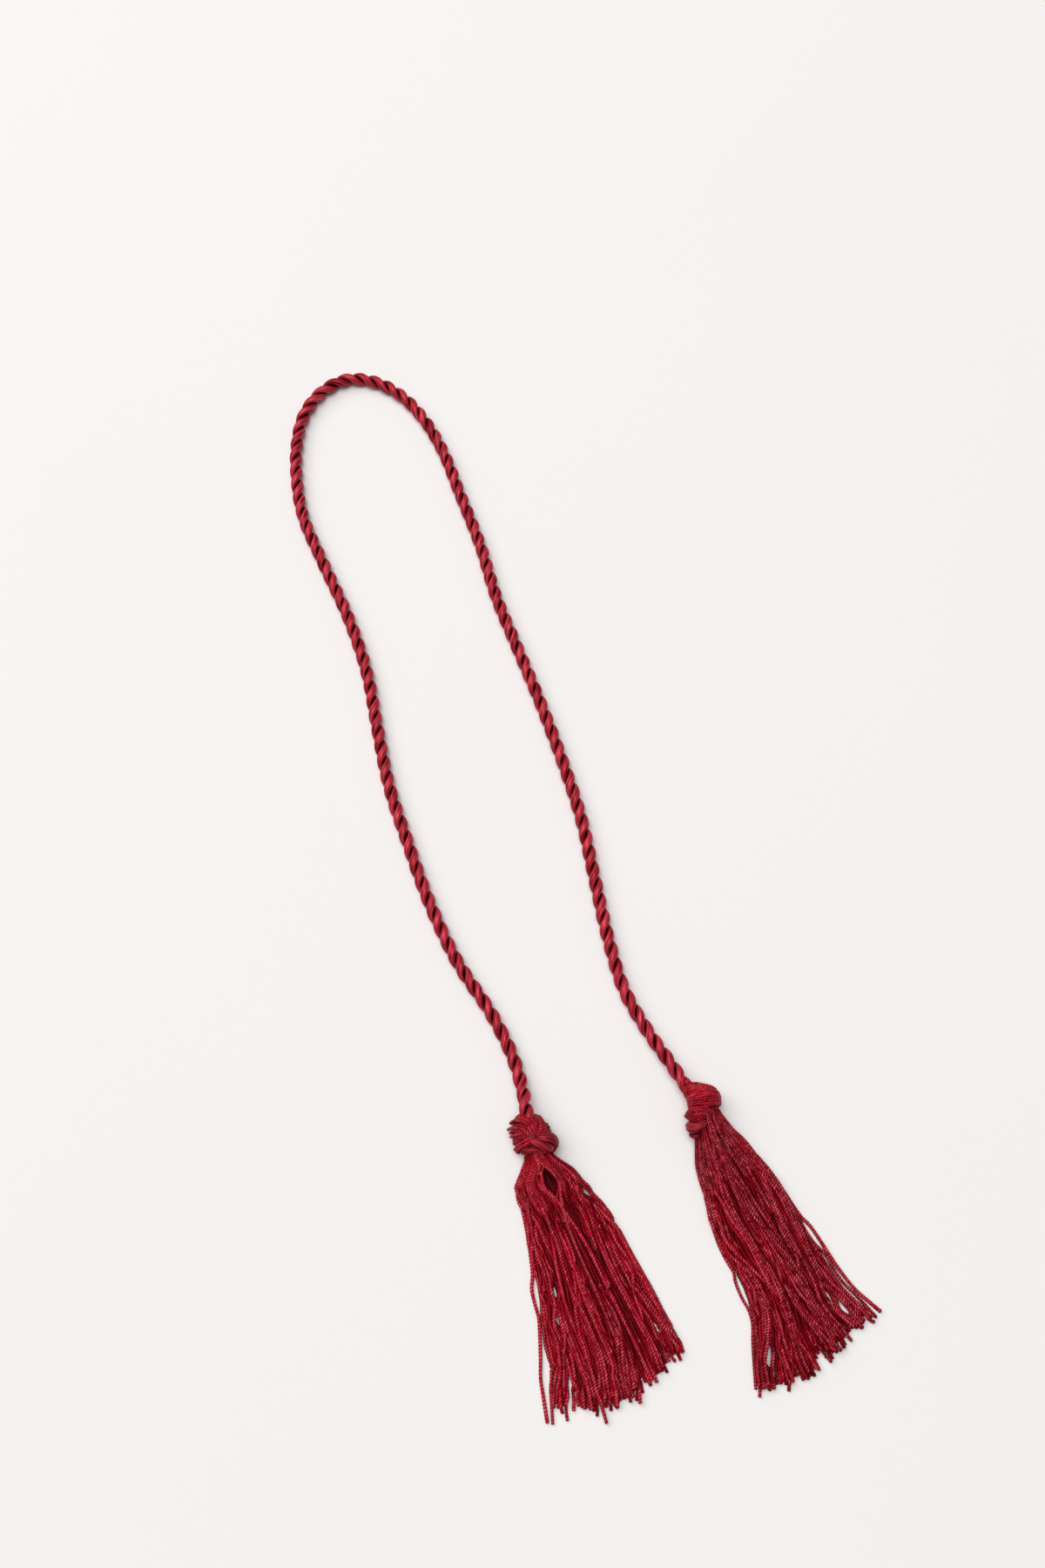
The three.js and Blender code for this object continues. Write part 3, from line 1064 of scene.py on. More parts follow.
@dataclass
class Skirt:
    """The cut yarns below a knot, in the frame of their tassel: along, side and up.

    Edges are rows of along, left and right. A parting is along, side, length, width, and 1 where
    it goes right through. A sweep is two levels, two shares, a shift, and where it begins and ends.
    """

    edges: Rows
    cut: Rows
    loose: Sequence[Rows] = ()
    partings: Rows = ()
    sweeps: Rows = ()
    tones: Row = (0.0, 1.0)
    seed: int = 1
    roots: Rows = ((-1, -2.5), (1, -2.5))
    neck_shade: float = 1.0

    under: int = 48
    locks: int = 8
    in_lock: int = 5
    strays: int = 9
    points: int = 78

    lock_jitter: float = 0.35
    lock_levels: Row = (0.58, 0.36)
    stray_width: float = 1.7
    under_height: float = 0.55
    drifts: Row = (0.13, 0.30, 0.14)
    drift_begin: float = 4.0
    drift_run: float = 62.0
    tangle: float = 0.34
    tangle_run: float = 19.0
    length_spread: float = 1.2
    odd_share: float = 0.15
    odd_lengths: Row = (-4.0, 2.6)
    slim: Rows = ((-3, 0.66), (3, 0.82), (13, 1.0))
    slim_spread: Row = (0.92, 1.08)
    bulge: Row = (0.06, 2.9)
    bulge_unlike: Row = (9.0, 4.0)

    heap: Rows = ((-3, 7.0), (4, 6.4), (10, 5.6), (20, 5.0), (40, 4.2), (72, 3.2))
    rise: Rows = ((-3, 1.3), (2, 0.9), (6, 0.1), (72, 0.0))
    crown: Row = (0.5, 2.4)
    bed: float = 0.9
    lowest: float = 0.45
    edge_inset: float = 0.8
    neck_round: float = 0.3
    neck_round_run: Row = (0, 14)
    sways: Rows = ((1.30, 8.5), (0.28, 4.8), (0.28, 5.4), (0.10, 2.4))
    sway_grows: Rows = ((1, 0.0), (9, 0.65), (25, 0.9), (70, 1.2))
    heaves: Rows = ((0.7, 8.0), (0.35, 5.5))
    heave_run: Row = (6, 20)
    lock_reach: Rows = ((-2, 0.6), (14, 1.0), (40, 1.25), (70, 1.7))
    lock_angle: float = 1.047
    lock_flat: float = 0.8
    lock_twist_run: float = 26.0

    gap_taper: float = 1.5
    gap_fade: float = 2.4
    gap_sink: float = 0.4
    # Painted shadow in the gaps: strands lower than gap_floor, within gap_shade of a gap's size,
    # are painted fully dark.
    gap_floor: float = 4.5
    gap_shade: float = 0.6
    # Painted shade of lying under other strands: where it starts, the depth over which it grows,
    # how it eases in from the neck, and how it fades at the open sides.
    bury_from: float = 0.3
    bury_depth: float = 1.4
    bury_run: Row = (4, 18)
    side_shade: Row = (0.2, 0.3)
    settling: Settling = Settling()

    def sides(self, along: np.ndarray) -> tuple[np.ndarray, np.ndarray]:
        """The skirt's left and right edge at places along it."""
        at, left, right = np.transpose(self.edges)
        return np.interp(along, at, left), np.interp(along, at, right)

    def painted_burial_shade(self, lines: np.ndarray) -> np.ndarray:
        """Painted shade at each point, by how far it lies under the strands beside it.

        Args:
            lines: Points of the strands.

        Returns:
            Painted shade from 0 at the top of the heap to 1, less along the skirt's open sides, and
            full low in a gap of the upper locks.
        """
        cell = np.floor(lines[..., :2]).astype(int)
        cell -= cell.min(axis=(0, 1)) - 1
        top = np.zeros(cell.max(axis=(0, 1)) + 2)
        np.maximum.at(top, (cell[..., 0], cell[..., 1]), lines[..., 2])
        step = (-1, 0, 1)
        around = [top[cell[..., 0] + x, cell[..., 1] + y] for x in step for y in step]
        along, side, up = np.moveaxis(lines, -1, 0)
        low, high = self.sides(along)
        inside = np.minimum(side - low, high - side)
        # Painted shade grows with how far a point lies below the highest strand near it.
        depth_shade = np.clip((np.max(around, axis=0) - up - self.bury_from) / self.bury_depth, 0, 1)
        depth_shade = depth_shade * np.interp(along, self.bury_run, (self.neck_shade, 1.0))
        least, rate = self.side_shade
        depth_shade = depth_shade * np.clip(least + rate * inside, least, 1.0)
        # Painted shadow: strands low in a gap of the upper locks are painted fully dark.
        for gap, middle, length, width, through in self.partings:
            far_along = (along - gap) / (self.gap_shade * length)
            far_aside = (side - middle) / (self.gap_shade * width)
            shaded = (far_along**2 + far_aside**2 < 1) & (up < self.gap_floor) & (through == 0)
            depth_shade = np.where(shaded, 1.0, depth_shade)
        return depth_shade

    def lay(self, yarn: Yarn) -> tuple[np.ndarray, np.ndarray, np.ndarray]:
        """Lays the strands as they fall: locks that hold together, over a bed of single strands.

        Args:
            yarn: The yarn that is cut.

        Returns:
            Middles of the strands, which of them are in locks, and their slimness.
        """
        chance = np.random.default_rng(self.seed)
        number, alone = np.arange(self.locks), np.arange(self.strays + self.under)
        jitter = chance.uniform(-self.lock_jitter, self.lock_jitter, self.locks)
        in_width, in_height = EVEN_PAIR
        lowest, range_up = self.lock_levels
        share = np.concatenate(
            [-1 + (2 * number + 1 + jitter) / self.locks,
             self.stray_width * spread_out(self.strays, 0.30, GOLDEN) - self.stray_width / 2,
             2 * spread_out(self.under, 0.5, in_width) - 1]
        )
        level = np.concatenate(
            [lowest + range_up * spread_out(self.locks, 0.12, GOLDEN),
             np.full(self.strays, 1.0),
             self.under_height * spread_out(self.under, 0.5, in_height)]
        )
        counts = (self.locks, self.strays, self.under)
        drift = np.concatenate(
            [chance.uniform(-most, most, count) for most, count in zip(self.drifts, counts)]
        )
        lock = np.concatenate([np.repeat(number, self.in_lock), self.locks + alone])
        place = np.concatenate([np.tile(np.arange(self.in_lock), self.locks), 0 * alone])
        upper = lock < self.locks + self.strays
        strands, share = len(lock), share[lock]
        length = self._lengths(share, chance)[:, None]
        start = looked_up(self.roots, share)[:, None]
        along = start + np.linspace(0, 1, self.points)[None] * (length - start)
        tangle = np.clip(share + chance.normal(0, self.tangle, strands), -1, 1) - share
        drifted = eased((along - self.drift_begin) / self.drift_run)
        drawn = share[:, None] + drift[lock][:, None] * drifted
        drawn = drawn + tangle[:, None] * eased(1 - along / self.tangle_run)
        lines = self._locks(along, drawn, level[lock], lock, place, chance)
        lines = self.opened(lines, upper)
        for at, row in zip(self.hand_laid(), self.loose):
            lines[at] = bent_through(row, self.points)
        slim = looked_up(self.slim, lines[..., 0])
        slim = slim * chance.uniform(*self.slim_spread, strands)[:, None]
        by_lock, by_place = self.bulge_unlike
        reach, run = self.bulge
        phase = along / run + by_lock * lock[:, None] + by_place * place[:, None]
        slim = slim * (1 + reach * np.sin(phase))
        lines = self.settling.settle(self, lines, slim * yarn.thick)
        return lines, upper, slim

    def hand_laid(self) -> list[int]:
        """Numbers of the stray strands that are laid apart from listed marks."""
        return [self.locks * self.in_lock + number for number in range(len(self.loose))]

    def _lengths(self, share: np.ndarray, chance: np.random.Generator) -> np.ndarray:
        """Lengths of the strands at the uneven cut, a few of them odd.

        Args:
            share: Place of each strand between the edges, from -1 to 1.
            chance: Seeded random numbers.

        Returns:
            One length for each strand.
        """
        length = looked_up(self.cut, share) + chance.normal(0, self.length_spread, len(share))
        odd = chance.uniform(0, 1, len(share)) < self.odd_share
        return length + np.where(odd, chance.uniform(*self.odd_lengths, len(share)), 0)

    def _locks(
        self,
        along: np.ndarray,
        drawn: np.ndarray,
        level: np.ndarray,
        lock: np.ndarray,
        place: np.ndarray,
        chance: np.random.Generator,
    ) -> np.ndarray:
        """First place of every strand, gathered round the middle of its lock.

        Args:
            along: Distances from the neck, shaped (strands, points).
            drawn: Place of each strand's lock between the edges, from -1 to 1, at every point.
            level: Height of each strand's lock in the heap, from 0 to 1.
            lock: Number of each strand's lock.
            place: Place of each strand in its lock, 0 in the middle and the rest round it.
            chance: Seeded random numbers.

        Returns:
            Points, shaped (strands, points, 3).
        """
        low, high = self.sides(along)
        share = drawn[:, along.shape[1] // 3]
        for lowest, highest, first, last, shift, begin, end in self.sweeps:
            chosen = (level >= lowest) & (level <= highest) & (share >= first) & (share <= last)
            moved = eased((along - begin) / (end - begin))
            drawn = drawn + np.where(chosen, shift, 0.0)[:, None] * moved
        round_in = np.sqrt(np.clip(1 - self.neck_round * (2 * level - 1) ** 2, 0, 1))[:, None]
        narrow = 1 - (1 - round_in) * np.interp(along, self.neck_round_run, (1.0, 0.0))
        alone = chance.uniform(0, FULL_TURN, (4, len(lock)))
        together = alone[:, lock]
        sway = waved(along, self.sways, (together[0], together[1], alone[2], alone[3]))
        sway *= looked_up(self.sway_grows, along)
        twist = chance.uniform(-1, 1, len(lock))[lock][:, None]
        angle = place[:, None] * self.lock_angle + together[2][:, None]
        angle = angle + twist * along / self.lock_twist_run
        reach = np.where(place == 0, 0.0, 1.0)[:, None] * looked_up(self.lock_reach, along)
        middle, half = (low + high) / 2, (high - low) / 2 - self.edge_inset
        side = middle + half * np.clip(drawn, -1, 1) * narrow + sway + reach * np.cos(angle)
        fall, power = self.crown
        thick = looked_up(self.heap, along) * (1 - fall * np.abs(drawn) ** power)
        height = self.bed + looked_up(self.rise, along) + level[:, None] * (thick - 2 * self.bed)
        height = height + self.lock_flat * reach * np.sin(angle)
        heave = waved(along, self.heaves, (together[3], alone[1]))
        height = height + heave * np.interp(along, self.heave_run, (0.0, 1.0))
        return np.stack([along, side, np.maximum(height, self.lowest)], axis=-1)

    def opened(self, lines: np.ndarray, upper: np.ndarray) -> np.ndarray:
        """Parts the strands round each gap, right through the heap or in its upper locks alone.

        Args:
            lines: Points of the strands.
            upper: Which strands are in the upper locks.

        Returns:
            The lines with the gaps opened.
        """
        for along, side, length, width, through in self.partings:
            away = (lines[..., 0] - along) / (length / 2)
            half = width / 2 * np.clip(1 - away**2, 0, 1) ** self.gap_taper
            nearest = np.argmin(np.abs(lines[..., 0] - along), axis=1)
            off = np.take_along_axis(lines[..., 1], nearest[:, None], axis=1) - side
            fade = np.clip(1 - np.abs(off) / (width * self.gap_fade), 0, 1)
            parted = (upper | (through > 0))[:, None]
            lines[..., 1] += np.where(off >= 0, half, -half) * fade * parted
            sunk = np.clip(1 - np.abs(off) / width, 0, 1) * ~parted
            lines[..., 2] -= self.gap_sink * half * sunk
        return lines


@dataclass(frozen=True)
class NeckYarns:
    """Finer yarns that show between a skirt's others at the neck, and then run in under them."""

    count: int
    slim: float = 0.68
    widest: float = 0.94
    uneven: float = 0.015
    ends: Row = (24, 32)
    inset: float = 0.7
    sway: Row = (0.25, 4.2)
    heap_end: float = 36.0
    heap_slope: float = 0.4
    sink: float = 2.4
    sink_begin: float = 11.0
    sink_run: float = 13.0
    tuck: float = 0.9
    tuck_run: float = 5.0
    sink_spread: float = 0.7
    lift: float = 0.45
    lowest: float = 0.4
    shade: Row = (0.1, 1.4)

    def lay(
        self, skirt: Skirt, lines: np.ndarray, chance: np.random.Generator
    ) -> tuple[np.ndarray, np.ndarray]:
        """Lays the yarns on top of a settled skirt.

        Args:
            skirt: The skirt that they lie in.
            lines: Points of its settled strands.
            chance: Seeded random numbers.

        Returns:
            Middles of the yarns, and the painted shade of each point, from how far it sinks in
            under the others, from 0 to 1.
        """
        share = np.linspace(-self.widest, self.widest, self.count)
        share = share + chance.normal(0, self.uneven, self.count)
        start = looked_up(skirt.roots, share)[:, None]
        length = chance.uniform(*self.ends, self.count)[:, None] - start
        along = start + np.linspace(0, 1, skirt.points // 2)[None] * length
        low, high = skirt.sides(along)
        side = (low + high) / 2 + share[:, None] * ((high - low) / 2 - self.inset)
        side += waved(along, (self.sway,), (chance.uniform(0, FULL_TURN, self.count),))
        flat = np.stack([along, side, 0 * along], axis=-1)
        laid = skirt.opened(flat, np.full(self.count, True))
        near = lines[lines[..., 0] < self.heap_end]
        away = (along[..., None] - near[:, 0]) ** 2 + (laid[..., 1, None] - near[:, 1]) ** 2
        top = np.max(near[:, 2] - self.heap_slope * away, axis=-1)
        sunk = self.sink * eased((along - self.sink_begin) / self.sink_run)
        sunk = sunk + self.tuck * eased(1 - (along - start) / self.tuck_run)
        sunk += chance.uniform(0, self.sink_spread, (self.count, 1))
        laid[..., 2] = np.maximum(top + self.lift - sunk, self.lowest)
        # Painted shade grows with how far each yarn has sunk in under the others.
        begin, run = self.shade
        return laid, np.clip((sunk - begin) / run, 0, 1)


@dataclass
class YarnBand:
    """Yarns that run side by side over a knot.

    Each mark is along, side, up and the width of the band there.
    """

    marks: Rows
    count: int
    curve: float = 6.0
    ragged: float = 0.1
    points: int = 60
    wobble: float = 0.12
    wave: float = 0.16
    wave_turn: float = 7.0
    wave_start: float = 6.28

    def lay(self, heart: Row, chance: np.random.Generator) -> np.ndarray:
        """Lays the yarns of the band.

        Args:
            heart: Middle of the knot that the band lies on.
            chance: Seeded random numbers.

        Returns:
            Middles of the yarns, shaped (yarns, points, 3).
        """
        rows = bent_through(self.marks, self.points)
        middle, width = rows[:, :3], rows[:, 3:4]
        ahead = unit(np.gradient(middle, axis=0))
        out = middle - np.asarray(heart, float)
        out = unit(out - ahead * np.sum(out * ahead, axis=1, keepdims=True))
        across = np.cross(out, ahead)
        made = []
        for v in np.linspace(-0.5, 0.5, self.count):
            off = v * width
            sag = off**2 / (2 * self.curve)
            aside, inward = chance.normal(0, self.wobble, 2)
            turn = np.linspace(0, self.wave_turn, len(rows)) + chance.uniform(0, self.wave_start)
            wave = self.wave * np.sin(turn)[:, None]
            sag = sag + self.ragged * inward
            made.append(middle + across * (off + aside + wave) - out * sag)
        return np.stack(made)


@dataclass
class Knot:
    """The knotted head: yarns wound round it, and the bands that cross over them."""

    profile: Rows
    heart: Row
    bands: Sequence[YarnBand]
    wraps: int = 20
    slant: float = 0.0
    ragged: float = 0.1
    tones: Row = (-0.1, 1.6)
    seed: int = 5
    slim: float = 0.86
    dull: Row = (0.0, 0.35)
    points: int = 60
    wound: float = 1.02
    square: float = 0.86
    inset: float = 0.9
    lower: float = 0.3
    lowest: float = 0.5
    inner_long: float = 1.8
    inner_inset: Row = (1.3, 1.4)
    inner_fineness: int = 3

    def windings(self) -> np.ndarray:
        """Yarns wound round the whole head, under the bands.

        Returns:
            Middles of the yarns, shaped (yarns, points, 3).
        """
        along, left, right, top = np.transpose(self.profile)
        at = np.linspace(along[0], along[-1], self.wraps)
        juts = np.random.default_rng(self.seed).normal(0, self.ragged, self.wraps)
        angle = np.linspace(0, FULL_TURN * self.wound, self.points)
        cos, sin = np.cos(angle), np.sin(angle)
        round_side = np.sign(cos) * np.abs(cos) ** self.square
        round_up = np.sign(sin) * np.abs(sin) ** self.square
        made = []
        for place, jut in zip(at, juts):
            low, high = np.interp(place, along, left), np.interp(place, along, right)
            up = np.interp(place, along, top)
            half, tall = (high - low) / 2 - self.inset, up / 2 - self.inset
            side = (low + high) / 2 + half * round_side - jut * np.clip(-cos, 0, 1)
            height = up / 2 - self.lower + tall * round_up
            lean = place + self.slant * cos
            made.append(np.stack([lean, side, np.maximum(height, self.lowest)], axis=1))
        return np.stack(made)

    def inner_turns(self, name: str, place: "Tassel") -> bpy.types.Object:
        """The inner turns of yarn, which show only as the dark between the outer ones.

        Args:
            name: Name of the piece.
            place: The tassel that the knot heads.

        Returns:
            The inner turns as one mesh.
        """
        shape = bmesh.new()
        at_side, at_top = self.inner_inset
        for along, left, right, top in self.profile[2:-1]:
            size = (self.inner_long, (right - left) / 2 - at_side, top / 2 - at_top)
            middle = (along, (left + right) / 2, top / 2)
            made = bmesh.ops.create_icosphere(
                shape, subdivisions=self.inner_fineness, radius=1.0
            )
            turn = made["verts"]
            bmesh.ops.scale(shape, vec=size, verts=turn)
            bmesh.ops.translate(shape, vec=middle, verts=turn)
        bmesh.ops.transform(shape, matrix=place.matrix(), verts=shape.verts)
        mesh = bpy.data.meshes.new(name)
        shape.to_mesh(mesh)
        shape.free()
        mesh.shade_smooth()
        return linked(name, mesh)


@dataclass
class SatinBight:
    """One smooth turn of satin ply across the neck; each mark is along, side, up and radius."""

    marks: Rows
    dull: float = 0.1
    wide: float = 1.18
    flat: float = 0.84
    bundles: int = 9
    corners: int = 36
    steps: int = 44
    plump: float = 1.02
    crease: float = 0.07
    crease_shade: float = 0.4
    spin: float = 2.2
    blunt: int = 14
    tip: float = 0.05

    def angles(self) -> np.ndarray:
        """Turn of each corner round the ply."""
        return np.linspace(0, FULL_TURN, self.corners, endpoint=False)

    def creases(self) -> np.ndarray:
        """Depth of each corner between the ply's bundles of filament, from 0 to 1."""
        return 0.5 - 0.5 * np.cos(self.bundles * self.angles())

    def painted_shade_and_dull(self) -> np.ndarray:
        """Darkening of each corner: an even darkening of the whole bight, and painted shade between
        the bundles.
        """
        return self.dull + self.crease_shade * self.creases() ** 2

    def rings(self) -> np.ndarray:
        """Sweeps the ply.

        Returns:
            Outlines, shaped (1, rings, corners, 3).
        """
        rows = bent_through(self.marks, self.steps)
        middle, radius = rows[None, :, :3], rows[:, 3]
        across, lift = carried_frames(middle)
        share = np.linspace(0, 1, len(rows))
        radius = radius * np.sqrt(np.clip(1 - (2 * share - 1) ** self.blunt, self.tip, 1))
        radius = radius[:, None] * (self.plump - self.crease * self.creases())
        spin = self.angles()[None, :] + self.spin * share[:, None]
        round_out = across[0][:, None] * (self.wide * np.cos(spin))[..., None]
        round_up = lift[0][:, None] * (self.flat * np.sin(spin))[..., None]
        return (middle[0][:, None] + (round_out + round_up) * radius[..., None])[None]


@dataclass
class Tassel:
    """One tassel: knot, tie and skirt at its own neck and angle."""

    name: str
    neck: Row
    lean_deg: float
    skirt: Skirt
    neck_yarns: NeckYarns
    knot: Knot
    tie: Sequence[SatinBight]
    yarn: Yarn = Yarn()
    under_yarn: Yarn = Yarn(rings_per_turn=5)

    def matrix(self) -> Matrix:
        """From the tassel's own frame in millimetres to the shared frame in metres.

        Returns:
            The move as a matrix.
        """
        turn = Matrix.Rotation(math.radians(self.lean_deg), 4, "Z")
        move = Matrix.Translation(Vector((*self.neck, 0.0)) * MM)
        return move @ turn @ Matrix.Scale(MM, 4)

    def placed(self, local: np.ndarray) -> np.ndarray:
        """Points in the tassel's own frame moved to the shared one, in millimetres.

        Args:
            local: Points with along, side and up on the last axis.

        Returns:
            Points with x, y and z on the last axis.
        """
        lean = math.radians(self.lean_deg)
        cos, sin = math.cos(lean), math.sin(lean)
        along, side, up = local[..., 0], local[..., 1], local[..., 2]
        x = self.neck[0] + cos * along - sin * side
        y = self.neck[1] + sin * along + cos * side
        return np.stack([x, y, up], axis=-1)

    def build(self, yarn_finish: bpy.types.Material, satin: bpy.types.Material) -> None:
        """Builds and dresses every piece of the tassel.

        Args:
            yarn_finish: Material of the yarn.
            satin: Material of the tie.
        """
        chance = np.random.default_rng(self.knot.seed)
        lines, upper, slim = self.skirt.lay(self.yarn)
        painted_burial_shade = self.skirt.painted_burial_shade(lines)
        for pile, chosen, yarn in (
            (Pile.UNDER, ~upper, self.under_yarn), (Pile.UPPER, upper, self.yarn)
        ):
            name = f"skirt_{self.name}_{pile.value}"
            strands = lines[chosen], slim[chosen], painted_burial_shade[chosen]
            self._dress_yarn(self._strands(name, yarn, *strands, chance), yarn_finish)
        self._dress_yarn(self._knot_yarns(chance), yarn_finish)
        inner = self.knot.inner_turns(f"knot_inner_turns_{self.name}", self)
        self._dress_yarn(inner, yarn_finish)
        bights = StrandMesh()
        for bight in self.tie:
            bights.add(self.placed(bight.rings()), np.array([MIDDLE_TONE]), bight.painted_shade_and_dull())
        dressed(bights.piece(f"neck_tie_{self.name}"), satin, [f"tie_{self.name}"])
        laid, depth_shade = self.neck_yarns.lay(self.skirt, lines, chance)
        fine = np.full(laid.shape[:2], self.neck_yarns.slim)
        name = f"neck_yarns_{self.name}"
        self._dress_yarn(self._strands(name, self.yarn, laid, fine, depth_shade, chance), yarn_finish)

    def _dress_yarn(self, piece: bpy.types.Object, finish: bpy.types.Material) -> None:
        """Dresses a piece of yarn, which stands for the tassel's solid."""
        dressed(piece, finish, [f"tassel_{self.name}"])

    def _strands(
        self,
        name: str,
        yarn: Yarn,
        lines: np.ndarray,
        slim: np.ndarray,
        depth_shade: np.ndarray,
        chance: np.random.Generator,
    ) -> bpy.types.Object:
        """Spins strands of the skirt.

        Args:
            name: Name of the piece.
            yarn: The yarn that they are spun as.
            lines: Middles of the strands, in the tassel's own frame.
            slim: Share of the yarn's thickness at every point.
            depth_shade: Painted shade at every point, by how far it lies under the others, from 0
                to 1.
            chance: Seeded random numbers.

        Returns:
            The strands as one mesh.
        """
        joined = StrandMesh()
        phase = chance.uniform(0, FULL_TURN, len(lines))
        spun = yarn.spun(self.placed(lines), phase, slim)
        # Painted shade: the deeper of the groove's shade and the shade of lying under other
        # strands.
        painted_shade_and_dull = np.maximum(yarn.painted_shade_and_dull(), finer(depth_shade[..., None], spun.shape[1]))
        joined.add(spun, chance.uniform(*self.skirt.tones, len(spun)), painted_shade_and_dull.ravel())
        return joined.piece(name)

    def _knot_yarns(self, chance: np.random.Generator) -> bpy.types.Object:
        """Spins the windings and the bands of the knot.

        Args:
            chance: Seeded random numbers.

        Returns:
            The knot's yarns as one mesh.
        """
        joined = StrandMesh()
        knot, painted_groove_shade = self.knot, self.yarn.painted_shade_and_dull()
        groups = [band.lay(knot.heart, chance) for band in knot.bands]
        for lines in (knot.windings(), *groups):
            phase = chance.uniform(0, FULL_TURN, len(lines))
            spun = self.yarn.spun(self.placed(lines), phase, np.full(lines.shape[:2], knot.slim))
            # The deeper of the painted groove shade and each yarn's random even darkening.
            dull = chance.uniform(*knot.dull, (len(lines), 1, 1))
            painted_shade_and_dull = np.broadcast_to(np.maximum(painted_groove_shade, dull), spun.shape[:3])
            joined.add(spun, chance.uniform(*knot.tones, len(lines)), painted_shade_and_dull.ravel())
        return joined.piece(f"knot_{self.name}")


